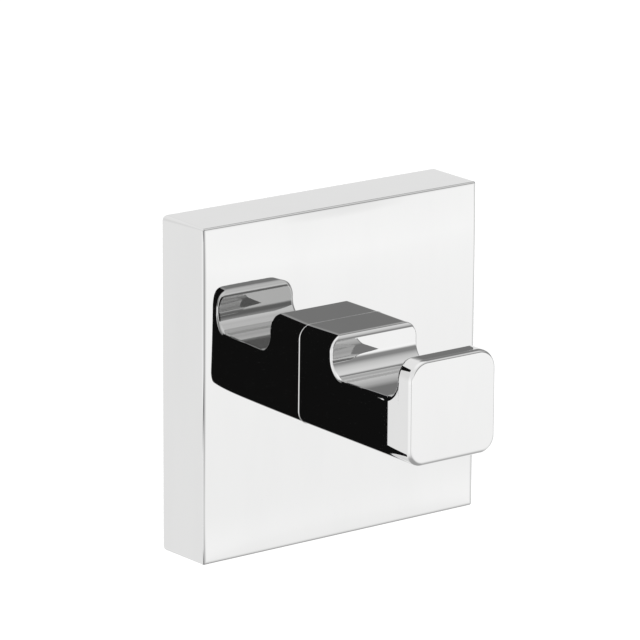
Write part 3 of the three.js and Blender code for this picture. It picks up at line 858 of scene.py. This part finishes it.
def arm_rows(arm, cover, tip_out, low, top):
    """Rings of the arm's skin and their normals, from the foot to the tip.

    Each ring starts on a point of the upper line. It crosses the arm there, goes over the edge on a rolling
    ball's arc between the upper line's normal and the side's, then down the rounded section to the underside,
    whose point moves along the arm in step with the upper line's length. The upper corner's radius grows, the
    width shrinks and the underside falls evenly from foot to tip, where a quarter ellipse draws the section
    in round the end face.
    """
    tip_start, first = tip_out - arm.tip_depth, cover.depth + 1 * MM
    line = arm_upper_line(arm, cover.depth, top, first, tip_start)
    run = np.concatenate([[0], np.cumsum(np.linalg.norm(np.diff(line[:, :2], axis=0), axis=1))])
    under = line[0, 0] + (line[-1, 0] - line[0, 0]) * run / run[-1]
    tip_turn = np.linspace(0, QUARTER, 13)[1:]
    tilt = np.concatenate([np.zeros(len(line)), tip_turn])
    swept = np.arctan2(arm.tip_depth * np.sin(tilt), arm.tip_edge * np.cos(tilt))
    inset, sunk_in = arm.tip_edge * (1 - np.cos(swept)), arm.tip_under * (1 - np.cos(swept))
    tilt_under = np.arctan2(arm.tip_under * np.sin(swept), arm.tip_depth * np.cos(swept))
    tip_line = tip_start + arm.tip_depth * np.sin(swept[-len(tip_turn) :])
    out = np.concatenate([line[:, 0], tip_line])
    under = np.concatenate([under, tip_line])
    height = np.concatenate([line[:, 1], np.full(len(tip_turn), top)]) - inset
    normal = np.concatenate([line[:, 2:], np.tile((0.0, 1.0), (len(tip_turn), 1))])
    gone_by = lambda where: (where - cover.depth) / (tip_out - cover.depth)
    grown = lambda where: arm.foot_corner + (arm.tip_corner - arm.foot_corner) * gone_by(where)
    radius, low_radius = grown(out) - inset, arm.under_corner - inset
    in_notch = (out - cover.depth - arm.notch_back) / (arm.notch_front - arm.notch_back)
    ball = arm.back_rim + (arm.tip_rim - arm.back_rim) * np.clip(in_notch, 0, 1)
    half, upper = arm.width / 2 - inset, top - inset
    lower = low + arm.foot_lift * (1 - gone_by(under)) + sunk_in

    meet = np.arccos(np.clip(1 - (upper - height) / radius, 0, 1))
    on_corner = meet < QUARTER - 1e-6
    facing = normal[:, 1] * np.cos(meet)
    spread = np.arccos(np.clip(facing, -1, 1))
    spread[spread < 1e-4] = 0
    scale = ball / (1 + facing)
    centre = np.stack(
        [
            half - radius + radius * np.sin(meet) - scale * np.sin(meet),
            out - scale * normal[:, 0],
            height - scale * (normal[:, 1] + np.cos(meet)),
        ],
        -1,
    )
    past = meet + ball * np.tan(spread / 2) / radius
    leave = np.where(on_corner, np.minimum(past, QUARTER), QUARTER)
    side_top = np.where(
        on_corner,
        upper - radius - np.maximum(past - QUARTER, 0) * radius,
        height - ball * normal[:, 1],
    )
    over, round_corner = ball * spread, radius * (QUARTER - leave)
    down = side_top - (lower + low_radius)
    share = np.linspace(0, 1, 56) ** 1.8
    gone = (over + round_corner + down)[:, None] * share
    column = lambda values: values[:, None]

    swing = np.clip(gone / column(ball), 0, column(spread))
    safe = np.where(spread > 0, np.sin(spread), 1)[:, None]
    from_line = np.where(column(spread) > 0, np.sin(column(spread) - swing) / safe, 1)
    from_side = np.where(column(spread) > 0, np.sin(swing) / safe, 0)
    zero = np.zeros_like(meet)
    line_normal = np.stack([zero, normal[:, 0], normal[:, 1]], -1)[:, None]
    side_normal = np.stack([np.sin(meet), zero, np.cos(meet)], -1)[:, None]
    ball_normal = from_line[..., None] * line_normal + from_side[..., None] * side_normal
    ball_point = centre[:, None] + ball[:, None, None] * ball_normal

    after = gone - column(over)
    bend = np.clip(column(leave) + after / column(radius), 0, QUARTER)
    reach = np.clip(after / column(round_corner + down), 0, 1)
    side_out = column(out - scale * normal[:, 0])
    side_out = side_out + reach * (column(under) - side_out)
    fallen = np.maximum(after - column(round_corner), 0)
    corner_z = column(upper - radius) + column(radius) * np.cos(bend)
    side_z = np.where(fallen > 0, column(side_top) - fallen, corner_z)
    side_x = column(half - radius) + column(radius) * np.sin(bend)
    wall_point = np.stack([side_x, side_out, side_z], -1)
    wall_normal = np.stack([np.sin(bend), np.zeros_like(bend), np.cos(bend)], -1)
    on_ball = (after < 0)[..., None] | ((share == 0)[None, :, None] & (column(spread) > 0)[..., None])
    points = np.where(on_ball, ball_point, wall_point)
    normals = np.where(on_ball, ball_normal, wall_normal)

    turn = np.linspace(QUARTER, math.pi, 14)[1:]
    below = np.stack(
        [
            column(half - low_radius) + column(low_radius) * np.sin(turn),
            np.repeat(column(under), len(turn), 1),
            column(lower + low_radius) + column(low_radius) * np.cos(turn),
        ],
        -1,
    )
    below_normal = np.stack([np.sin(turn), np.zeros_like(turn), np.cos(turn)], -1)
    below_normal = np.broadcast_to(below_normal, below.shape)
    points = np.concatenate([points, below], 1)
    normals = np.concatenate([normals, below_normal], 1)
    downwards = np.clip(-normals[..., 2:], 0, 1) ** 2
    lean = tilt[:, None, None] + downwards * (tilt_under - tilt)[:, None, None]
    normals = np.cos(lean) * normals + np.sin(lean) * Y_AXIS
    points, normals = with_foot(arm, cover, points, normals)

    drawn_in = arm.draft / (arm.width / 2)
    narrowed = 1 + drawn_in * (0.5 - gone_by(points[..., 1]))
    falling = arm.foot_lift * np.minimum(normals[..., 2], 0)
    normals[..., 1] += (drawn_in * points[..., 0] * normals[..., 0] + falling) / (tip_out - cover.depth)
    points[..., 0] *= narrowed
    return both_sides(points, normals)


def set_normals(mesh, starts, ends):
    """Gives a skin's faces smooth normals that may break between rows.

    A face between two rows takes the first row's starts and the second row's ends. The end rows' own faces
    look along the axis, and whatever else is in the mesh keeps the normals it has.
    """
    count = starts.shape[1]
    turn = np.roll(np.arange(count), -1)
    sides = np.stack([starts[:-1], starts[:-1, turn], ends[1:, turn], ends[1:]], 2).reshape(-1, 3)
    caps = np.repeat([Y_AXIS, -Y_AXIS], count, 0)
    others = np.zeros((len(mesh.loops) - len(sides) - len(caps), 3))
    mesh.polygons.foreach_set("use_smooth", np.ones(len(mesh.polygons), bool))
    mesh.normals_split_custom_set(np.concatenate([sides, caps, others]).tolist())


class TOWELHOOK_OT_arm(bpy.types.Operator):
    """Makes the arm with its towel notch, screw bore and locating pegs"""

    bl_idname = "towel_hook.arm"
    bl_label = "Hook Arm"

    def execute(self, context):
        hook = context.scene.towel_hook
        arm, foot = hook.arm, hook.cover.depth + hook.cover.crown
        rows, normals = arm_rows(arm, hook.cover, -ARM_LOW.y, ARM_LOW.z, ARM_HIGH.z)
        around = np.arctan2(rows[0, :, 2], rows[0, :, 0])
        spoke = np.stack([np.cos(around), np.zeros_like(around), np.sin(around)], -1)[None]
        back = np.broadcast_to(Y_AXIS, spoke.shape)
        deep, mouth = (M5_BORE * spoke - out * Y_AXIS for out in (foot + arm.bore_depth, foot))
        starts = np.concatenate([-spoke, back, normals])
        ends = np.concatenate([-spoke, -spoke, back, normals[1:]])
        radius, bevel, end = arm.peg_radius, 0.2 * MM, foot - arm.peg_length
        peg = [(radius - bevel, end), (radius, end + bevel), (radius, foot + CUT_PAST)]
        pegs = [turned(peg, sign * arm.peg_spacing / 2, count=32) for _, sign in SIDES]
        piece = mesh_object("arm_body", *join(skin(np.concatenate([deep, mouth, rows])), *pegs))
        set_normals(piece.data, starts, ends)
        place(piece, "hook", "hook_arm", chrome_finish(False))
        return {"FINISHED"}


# Wall adapter and pad


class TOWELHOOK_OT_adapter(bpy.types.Operator):
    """Makes the cast wall adapter with its rim, recess and holes"""

    bl_idname = "towel_hook.adapter"
    bl_label = "Wall Adapter"

    def execute(self, context):
        size = context.scene.towel_hook.fixing
        radius, depth = ADAPTER_HIGH.x, -ADAPTER_LOW.y
        inner, edge = radius - size.adapter_rim, size.cast_edge
        profile = [
            (inner - size.adapter_slope - 2 * MM, size.recess),
            (inner - size.adapter_slope, size.recess),
            (inner, 0.0),
            (radius, 0.0),
            (radius, depth - size.shoulder),
            (radius - size.shoulder, depth),
            (radius - 3 * MM, depth),
        ]
        piece = mesh_object("adapter_cup", *turned(eased(profile, edge), count=192))
        holes = [(size.vent_bore, 0.0, size.vent_rise), (size.glue_bore, 0.0, -size.glue_drop)]
        holes += [(M3_BORE, sign * size.screw_spacing / 2, 0.0) for _, sign in SIDES]
        for bore, x, z in holes:
            cut(piece, "DIFFERENCE", flared_hole(bore, size.cast_lead, size.recess, depth, x, z))
        smooth(piece, 35.0)
        place(piece, "wall_fixing", "wall_adapter", cast_finish())
        return {"FINISHED"}


def pad_outline(size):
    """The die-cut pad's outline in X and Z, anticlockwise.

    Two bowed ends and four bowed sides in arcs, with an arc bitten out round each screw head.
    """
    half, screw_x, half_turn = PAD_HIGH.x, size.screw_spacing / 2, math.pi
    straight, corner_z, side_radius, nick = size.pad_waist, size.pad_corner, size.pad_bow, size.pad_nick
    side_x = half - side_radius
    side_turn = math.asin((corner_z - straight) / side_radius)
    corner_x = side_x + side_radius * math.cos(side_turn)
    sag = PAD_HIGH.z - corner_z
    end_radius = (corner_x**2 + sag**2) / (2 * sag)
    end_z = PAD_HIGH.z - end_radius
    end_turn = math.asin(corner_x / end_radius)
    nick_turn = math.acos((screw_x - half) / nick)
    arcs = [
        ((side_x, straight), side_radius, 0, side_turn),
        ((0, end_z), end_radius, QUARTER - end_turn, QUARTER + end_turn),
        ((-side_x, straight), side_radius, half_turn - side_turn, half_turn),
        ((-screw_x, 0), nick, nick_turn, -nick_turn),
        ((-side_x, -straight), side_radius, half_turn, half_turn + side_turn),
        ((0, -end_z), end_radius, 3 * QUARTER - end_turn, 3 * QUARTER + end_turn),
        ((side_x, -straight), side_radius, -side_turn, 0),
        ((screw_x, 0), nick, half_turn + nick_turn, half_turn - nick_turn),
    ]
    return np.concatenate([arc_run(c, r, a, b, 26, 1)[:-1, :2] for c, r, a, b in arcs])


class TOWELHOOK_OT_pad(bpy.types.Operator):
    """Makes the foam adhesive pad with its soft cut edges"""

    bl_idname = "towel_hook.pad"
    bl_label = "Adhesive Pad"

    def execute(self, context):
        size = context.scene.towel_hook.fixing
        outline = pad_outline(size)
        along = np.roll(outline, -1, 0) - np.roll(outline, 1, 0)
        along /= np.linalg.norm(along, axis=1, keepdims=True)
        inwards = np.stack([-along[:, 1], along[:, 0]], -1)
        turn = np.linspace(0, QUARTER, 6)
        edge, depth = size.pad_edge, -PAD_LOW.y
        inset = edge * np.concatenate([1 - np.sin(turn), 1 - np.cos(turn)])
        out = np.concatenate([edge * (1 - np.cos(turn)), depth - edge * (1 - np.sin(turn))])
        rings = outline + inset[:, None, None] * inwards
        piece = mesh_object("pad_sheet", *skin(stood_out(rings, out)))
        for bore, z in ((size.vent_bore, size.vent_rise), (size.glue_bore, -size.glue_drop)):
            cut(piece, "DIFFERENCE", flared_hole(bore, size.pad_lead, 0.0, depth, 0.0, z))
        smooth(piece, 40.0)
        place(piece, "wall_fixing", "adhesive_pad", pad_finish())
        return {"FINISHED"}


# Bracket and fasteners


def flange_skin(sheet, sign):
    """A strip of sheet bent forwards: its edge profile in out and Z, carried across the bracket's flange."""
    back, reach, top = -BRACKET_HIGH.y, -BRACKET_LOW.y, BRACKET_HIGH.z
    inner = sheet / 2
    bend = inner + sheet
    centre = (back + bend, top - bend)
    outer_arc = arc_run(centre, bend, math.pi, QUARTER, 10, 1)[:, :2]
    inner_arc = arc_run(centre, inner, QUARTER, math.pi, 10, 1)[:, :2]
    ends = [(reach, top), (reach, top - sheet)]
    start, stop = [(back, FLANGE_ROOT)], [(back + sheet, FLANGE_ROOT)]
    profile = np.concatenate([start, outer_arc, ends, inner_arc, stop])
    grid = np.empty((2, len(profile), 3))
    grid[..., 0] = np.array([-0.5, 0.5])[:, None] * FLANGE_WIDTH
    grid[..., 1] = -profile[:, 0]
    grid[..., 2] = sign * profile[:, 1]
    return skin(grid if sign > 0 else grid[::-1])


def prism(half_x, half_z, corner, out, x=0.0):
    """A rounded rectangle, or one for each distance out, carried along those distances."""
    return skin(stood_out(rectangle_rings(half_x * np.ones(2), half_z * np.ones(2), corner), out, x))


class TOWELHOOK_OT_bracket(bpy.types.Operator):
    """Makes the pressed steel bracket with its flanges, window and slots"""

    bl_idname = "towel_hook.bracket"
    bl_label = "Mounting Bracket"

    def execute(self, context):
        size = context.scene.towel_hook.fixing
        back, half_x, half_z = -BRACKET_HIGH.y, BRACKET_HIGH.x, BRACKET_HIGH.z - BRACKET_CORNER
        front = back + size.sheet
        piece = mesh_object("bracket_pressing", *prism(half_x, half_z, BRACKET_CORNER, (back, front)))
        cut(piece, "UNION", flange_skin(size.sheet, 1), flange_skin(size.sheet, -1))
        through = back - CUT_PAST, front + CUT_PAST
        slot = SLOT_LENGTH, SLOT_HEIGHT, SLOT_CORNER, through
        slots = [prism(*slot, sign * size.screw_spacing / 2) for _, sign in SIDES]
        cut(piece, "DIFFERENCE", lathe([WINDOW_RADIUS] * 2, through), *slots)
        smooth(piece, 30.0, BRACKET_EDGE)
        place(piece, "wall_fixing", "mounting_bracket", zinc_finish())
        return {"FINISHED"}


def hex_radius(flats, count):
    """Radius round a hexagon: half its flats over the cosine of the angle from the nearest flat."""
    around = np.arange(count) / count * TURN
    return flats / 2 / np.cos((around + math.pi / 6) % (math.pi / 3) - math.pi / 6)


def hex_rings(flats, count=48):
    """Radii of a hexagonal recess: the hexagon at its mouth and floor, and a small one that ends its cone."""
    hexagon = hex_radius(flats, count)
    return np.stack([hexagon, hexagon, 0.4 * hexagon])


class TOWELHOOK_OT_adapter_screws(bpy.types.Operator):
    """Makes the two pan-head adapter screws with cross recesses and threads"""

    bl_idname = "towel_hook.adapter_screws"
    bl_label = "Adapter Screws"

    def execute(self, context):
        size = context.scene.towel_hook.fixing
        head, edge, corner = M3_HEAD, 0.1 * MM, 0.08 * MM
        dome = np.linspace(0, QUARTER, 9)
        wide, narrow = 1.5 * MM * np.array([1.0, 0.62]), 0.4 * MM * np.array([1.0, 0.75])
        for side, sign in SIDES:
            node = f"adapter_screw_{side}"
            low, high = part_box(node)
            start, end, x = -high.y, -low.y, sign * size.screw_spacing / 2
            seat, floor = start + 1.55 * MM, start + 0.95 * MM
            crown = np.stack(
                [head * (0.45 + 0.55 * np.sin(dome)), floor - 0.95 * MM * np.cos(dome)], -1
            )
            under = [(head, seat - edge), (head - edge, seat), (M3_RADIUS, seat)]
            radii, out = threaded([*crown, *under], M3_RADIUS, size.thread_m3, end, 0.3 * MM)
            piece = mesh_object(f"{node}_turned", *lathe(radii, out, x, count=60))
            recess = corner, (start - 0.2 * MM, floor), x
            cut(piece, "DIFFERENCE", prism(wide, narrow, *recess), prism(narrow, wide, *recess))
            smooth(piece, 40.0)
            place(piece, "wall_fixing", node, zinc_finish())
        return {"FINISHED"}


def washer_skin(node, bore, x):
    """A washer: a small bevelled rectangle of radius against distance out, carried once round."""
    low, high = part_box(node)
    outer, back, front, edge = (high.x - low.x) / 2, -high.y, -low.y, 0.08 * MM
    radii = [bore + edge, outer - edge, outer, outer, outer - edge, bore + edge, bore, bore]
    out = [back, back, back + edge, front - edge, front, front, front - edge, back + edge]
    return ring_skin(radii, out, x, ROUND)


class TOWELHOOK_OT_washers(bpy.types.Operator):
    """Makes the bracket's two washers and the arm screw's washer"""

    bl_idname = "towel_hook.washers"
    bl_label = "Washers"

    def execute(self, context):
        size = context.scene.towel_hook.fixing
        rows = [
            (f"bracket_washer_{side}", "wall_fixing", M3_BORE, sign * size.screw_spacing / 2)
            for side, sign in SIDES
        ]
        rows.append(("arm_washer", "hook", M5_BORE, 0.0))
        for node, body, bore, x in rows:
            piece = mesh_object(f"{node}_stamped", *washer_skin(node, bore, x))
            smooth(piece, 50.0)
            place(piece, body, node, zinc_finish())
        return {"FINISHED"}


def nut_skin(node, bore, flats, x):
    """A hex nut: the hexagon's radius, held under a cone near both faces, round a bevelled bore."""
    low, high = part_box(node)
    back, front, lead, count = -high.y, -low.y, 0.2 * MM, 96
    rise = np.linspace(0, 1, 6) * 0.35 * MM
    cone = 0.97 * flats / 2 + 1.7 * rise
    outer = np.minimum(hex_radius(flats, count), cone[:, None])
    mouth, inner = np.full((1, count), bore + lead), np.full((2, count), bore)
    radii = np.concatenate([mouth, outer, outer[::-1], mouth, inner])
    out = [back, *(back + rise), *(front - rise[::-1]), front, front - lead, back + lead]
    return ring_skin(radii, out, x, count)


class TOWELHOOK_OT_nuts(bpy.types.Operator):
    """Makes the two hex nuts that clamp the bracket"""

    bl_idname = "towel_hook.nuts"
    bl_label = "Bracket Nuts"

    def execute(self, context):
        size = context.scene.towel_hook.fixing
        for side, sign in SIDES:
            node = f"bracket_nut_{side}"
            x = sign * size.screw_spacing / 2
            piece = mesh_object(f"{node}_cut", *nut_skin(node, M3_BORE, M3_FLATS, x))
            smooth(piece, 25.0)
            place(piece, "wall_fixing", node, zinc_finish())
        return {"FINISHED"}


class TOWELHOOK_OT_arm_screw(bpy.types.Operator):
    """Makes the cap screw that holds the arm, with its hex socket and thread"""

    bl_idname = "towel_hook.arm_screw"
    bl_label = "Arm Screw"

    def execute(self, context):
        size = context.scene.towel_hook.fixing
        low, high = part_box("arm_screw")
        start, end, head = -high.y, -low.y, high.x
        seat, floor, bevel, edge = start + 2.7 * MM, start + 1.5 * MM, 0.5 * MM, 0.15 * MM
        head_line = [
            (0.6 * head, start),
            (head - bevel, start),
            (head, start + bevel),
            (head, seat - edge),
            (head - edge, seat),
            (M5_RADIUS, seat),
        ]
        radii, out = threaded(head_line, M5_RADIUS, size.thread_m5, end, 0.45 * MM, ROUND)
        piece = mesh_object("arm_screw_turned", *lathe(radii, out))
        deep = start - 0.5 * MM, floor, floor + M5_SOCKET / 4
        cut(piece, "DIFFERENCE", lathe(hex_rings(M5_SOCKET), deep, count=48))
        smooth(piece, 40.0)
        place(piece, "hook", "arm_screw", oxide_finish())
        return {"FINISHED"}


class TOWELHOOK_OT_grub_screw(bpy.types.Operator):
    """Makes the set screw that locks the cover, with its hex socket and thread"""

    bl_idname = "towel_hook.grub_screw"
    bl_label = "Grub Screw"

    def execute(self, context):
        size = context.scene.towel_hook.fixing
        low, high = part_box("grub_screw")
        bevel, axis_out, floor = 0.45 * MM, -(low.y + high.y) / 2, low.z + 2.5 * MM
        groove, along = thread(M4_RADIUS, size.thread_m4, low.z + bevel, high.z - bevel, ROUND)
        ends = np.array([[0.5 * M4_RADIUS], [M4_RADIUS - bevel]]) * np.ones(ROUND)
        radii = np.concatenate([ends, groove, ends[::-1]])
        height = [low.z, low.z, *along, high.z, high.z]
        piece = mesh_object("grub_screw_turned", *upright(radii, height, axis_out))
        deep = low.z - CUT_PAST, floor, floor + M4_SOCKET / 4
        cut(piece, "DIFFERENCE", upright(hex_rings(M4_SOCKET), deep, axis_out, 48))
        smooth(piece, 40.0)
        place(piece, "grub_screw", "grub_screw", oxide_finish())
        return {"FINISHED"}


# Stage


def grey(value):
    """A colour without hue."""
    return (value, value, value)


def cosine_from(tree, where, towards):
    """The cosine of the angle between where a ray goes and a direction."""
    dot = tree.nodes.new("ShaderNodeVectorMath")
    dot.operation = "DOT_PRODUCT"
    tree.links.new(where, dot.inputs[0])
    dot.inputs[1].default_value = Vector(towards).normalized()
    return dot.outputs["Value"]


def light_panel(tree, where, sky, towards, inner, outer, value):
    """A round soft-edged panel in the studio's dome.

    The cosine of the angle from its middle goes from the outer to the inner angle's cosine, and the panel's
    value takes over from what the dome had there.
    """
    limits = (math.cos(math.radians(degrees)) for degrees in (outer, inner))
    share = ranged(tree, cosine_from(tree, where, towards), 0, 1, *limits)
    share.node.interpolation_type = "SMOOTHSTEP"
    return mixed(tree, share, sky, grey(value))


def height_ramp(tree, level, stops):
    """Grey by height; the stops are degrees above the horizon and greys."""
    ramp = tree.nodes.new("ShaderNodeValToRGB")
    tree.links.new(ranged(tree, level, 0, 1, -1, 1), ramp.inputs["Fac"])
    elements = ramp.color_ramp.elements
    elements.remove(elements[0])
    for index, (height, value) in enumerate(stops):
        position = 0.5 + 0.5 * math.sin(math.radians(height))
        stop = elements[0] if index == 0 else elements.new(position)
        stop.position, stop.color = position, (*grey(value), 1)
    return ramp.outputs["Color"]


def upright_strip(tree, sky, around, level, sides, heights, value):
    """An upright strip of the dome between two directions round the hook and two heights, in degrees."""
    left, right = map(math.radians, sides)
    low, high = (math.sin(math.radians(height)) for height in heights)
    soft = math.radians(1.5)
    wide = between(tree, around, left, right, soft, soft)
    tall = between(tree, level, low, high, 0.05, 0.06)
    return mixed(tree, product(tree, wide, tall), sky, grey(value))


# Greys of the studio by degrees above the horizon, and the directions of its dull patches
LOW_SKY = (
    (-90, 0.45), (-56, 0.5), (-46, 0.72), (-36, 1.08), (-24, 1.2), (-17.5, 1.24), (-13.3, 1.335), (-5, 1.3),
)
RIGHT_SKY = ((3, 0.4), (6, 0.33), (18, 0.33), (29, 0.6), (36, 0.75), (46, 0.86), (53, 0.95), (90, 1.3))
LEFT_SKY = ((20, 1.1), (45, 1.05), (90, 1.3))
REAR_SKY = ((-90, 1.09), (-8, 1.09), (8, 0.985), (20, 0.985), (32, 1.1), (90, 1.1))
SECOND_SKY = (
    (-90, 0.45), (-54, 0.45), (-45, 0.62), (-32, 1.1), (-24, 1.28), (-5, 1.28), (3, 0.4),
    (6, 0.33), (18, 0.33), (29, 0.55), (36, 0.7), (46, 0.82), (53, 0.95), (90, 1.2),
)
UPPER_RIGHT, RIGHT_SIDE = (0.635, 0.428, 0.643), (1, 0.1, -0.27)


def reflected_sky(tree, where, path):
    """What the hook reflects.

    Once reflected, it is a light dome, brightest just below the horizon and dull straight down, pale behind
    the hook. On the right it has a grey band above the horizon and two dull patches, and on the left a thin
    dark strip. Reflected twice, it has the grey band all round, one dull patch and a black flag in front.
    """
    axes, rad = axes_of(tree, where), math.radians
    level = axes["Z"]
    around = math_node(tree, "ARCTAN2", axes["X"], product(tree, axes["Y"], -1.0))
    behind = ranged(tree, math_node(tree, "ABSOLUTE", around), 0, 1, rad(112), rad(130))
    tall = between(tree, level, math.sin(rad(-24)), math.sin(rad(48)), 0.14, 0.1)
    pale = product(tree, behind, tall)
    side = between(tree, around, rad(0), rad(150), rad(25), rad(30))
    left, right = (height_ramp(tree, level, LOW_SKY + upper) for upper in (LEFT_SKY, RIGHT_SKY))
    once = mixed(tree, side, left, right)
    once = mixed(tree, pale, once, height_ramp(tree, level, REAR_SKY))
    once = light_panel(tree, where, once, UPPER_RIGHT, 16, 28, 0.28)
    once = upright_strip(tree, once, around, level, (-55.5, -49.5), (-42, 12), 0.1)
    once = light_panel(tree, where, once, RIGHT_SIDE, 10, 24, 0.3)
    twice = mixed(tree, pale, height_ramp(tree, level, SECOND_SKY), grey(1.09))
    twice = light_panel(tree, where, twice, RIGHT_SIDE, 10, 24, 0.5)
    twice = upright_strip(tree, twice, around, level, (-47, 22), (-46, 45), 0.01)
    again = math_node(tree, "GREATER_THAN", path.outputs["Ray Depth"], 2.5)
    return mixed(tree, again, once, twice)


def studio_dome():
    """The studio: a sky to reflect, a soft dome that lights matt pieces, and white to the camera."""
    world = bpy.data.worlds.new("studio")
    world.use_nodes = True
    bpy.context.scene.world = world
    tree = world.node_tree
    tree.nodes.clear()
    where = tree.nodes.new("ShaderNodeTexCoord").outputs["Generated"]
    path = tree.nodes.new("ShaderNodeLightPath")
    studio = add_node(tree, "ShaderNodeBackground", Color=reflected_sky(tree, where, path))
    bright = ranged(tree, cosine_from(tree, where, (-0.4, 0.15, 0.9)), 0.35, 1.35, -1, 1)
    soft = add_node(tree, "ShaderNodeBackground", Color=(1, 1, 1, 1), Strength=bright)
    plain = add_node(tree, "ShaderNodeBackground", Color=(0.99, 0.99, 0.99, 1))
    seen = soft.outputs[0]
    for ray, light in (("Is Glossy Ray", studio), ("Is Camera Ray", plain)):
        either = tree.nodes.new("ShaderNodeMixShader")
        for socket, source in zip(either.inputs, (path.outputs[ray], seen, light.outputs[0])):
            tree.links.new(source, socket)
        seen = either.outputs[0]
    output = tree.nodes.new("ShaderNodeOutputWorld")
    tree.links.new(seen, output.inputs["Surface"])


def stage_floor(size, drop, tint):
    """A square floor below the hook, in pale matt paint; reflections don't show it."""
    count = 8
    line = np.linspace(-size / 2, size / 2, count + 1)
    x, y = np.meshgrid(line, line)
    points = np.stack([x, y, np.full_like(x, -drop)], -1).reshape(-1, 3)
    start = (np.arange(count)[:, None] * (count + 1) + np.arange(count)).reshape(-1, 1)
    floor = mesh_object("floor", points, (start + np.array([0, 1, count + 2, count + 1])).tolist())
    material, tree, shader = new_material("floor_paint")
    grain, _ = place_group(tree, grain_group(), Grain_Scale=60.0, Patch_Scale=0.6)
    base = mixed(tree, grain.outputs["Patch"], tuple(tint), tuple(0.99 * np.array(tint)))
    tree.links.new(base, shader.inputs["Base Color"])
    shader.inputs["Roughness"].default_value = 0.9
    shader.inputs["Specular IOR Level"].default_value = 0.0
    floor.data.materials.append(material)
    floor.visible_glossy = False
    return floor


def stage_camera(stage):
    """A camera turned by its azimuth, elevation and roll, standing at the stage's eye."""
    around, above, roll = stage.azimuth, stage.elevation, stage.roll
    level = math.cos(above)
    back = Vector((math.sin(around) * level, -math.cos(around) * level, math.sin(above)))
    right = Vector((math.cos(around), math.sin(around), 0))
    up = back.cross(right)
    rolled_right = math.cos(roll) * right + math.sin(roll) * up
    rolled_up = math.cos(roll) * up - math.sin(roll) * right
    lens = bpy.data.cameras.new("camera")
    lens.sensor_width, lens.lens = 36.0, stage.lens
    lens.clip_start, lens.clip_end = 0.01, 100.0
    camera = bpy.data.objects.new("camera", lens)
    turn = Matrix((rolled_right, rolled_up, back)).transposed().to_4x4()
    camera.matrix_world = Matrix.Translation(stage.eye) @ turn
    return camera


class TOWELHOOK_OT_stage(bpy.types.Operator):
    """Makes the floor, the studio light and the camera"""

    bl_idname = "towel_hook.stage"
    bl_label = "Stage"

    def execute(self, context):
        scene = context.scene
        stage = scene.towel_hook.stage
        floor = stage_floor(stage.floor_size, stage.floor_drop, scene.towel_hook.colours.floor)
        studio_dome()
        scene.view_settings.view_transform = "Standard"
        scene.camera = stage_camera(stage)
        scene.collection.objects.link(scene.camera)
        return {"FINISHED"}


OPERATORS = (
    TOWELHOOK_OT_stage,
    TOWELHOOK_OT_adapter,
    TOWELHOOK_OT_pad,
    TOWELHOOK_OT_bracket,
    TOWELHOOK_OT_adapter_screws,
    TOWELHOOK_OT_washers,
    TOWELHOOK_OT_nuts,
    TOWELHOOK_OT_cover,
    TOWELHOOK_OT_arm,
    TOWELHOOK_OT_arm_screw,
    TOWELHOOK_OT_grub_screw,
)


class TOWELHOOK_PT_panel(bpy.types.Panel):
    """Lists the hook's pieces and the stage"""

    bl_label = "Towel Hook"
    bl_idname = "TOWELHOOK_PT_panel"
    bl_space_type = "VIEW_3D"
    bl_region_type = "UI"
    bl_category = "Towel Hook"

    def draw(self, context):
        for operator in OPERATORS:
            self.layout.operator(operator.bl_idname)


CLASSES = (
    CoverSizes,
    ArmSizes,
    FixingSizes,
    FinishColours,
    StageSettings,
    TowelHookSettings,
    *OPERATORS,
    TOWELHOOK_PT_panel,
)


def register():
    """Adds the classes and the scene's settings."""
    for kind in CLASSES:
        bpy.utils.register_class(kind)
    bpy.types.Scene.towel_hook = bpy.props.PointerProperty(type=TowelHookSettings)


def unregister():
    """Takes the scene's settings and the classes away again."""
    del bpy.types.Scene.towel_hook
    for kind in reversed(CLASSES):
        bpy.utils.unregister_class(kind)


def main():
    """Makes the stage and every piece."""
    register()
    bpy.ops.towel_hook.stage()
    bpy.ops.towel_hook.adapter()
    bpy.ops.towel_hook.pad()
    bpy.ops.towel_hook.bracket()
    bpy.ops.towel_hook.adapter_screws()
    bpy.ops.towel_hook.washers()
    bpy.ops.towel_hook.nuts()
    bpy.ops.towel_hook.cover()
    bpy.ops.towel_hook.arm()
    bpy.ops.towel_hook.arm_screw()
    bpy.ops.towel_hook.grub_screw()


if __name__ == "__main__":
    main()
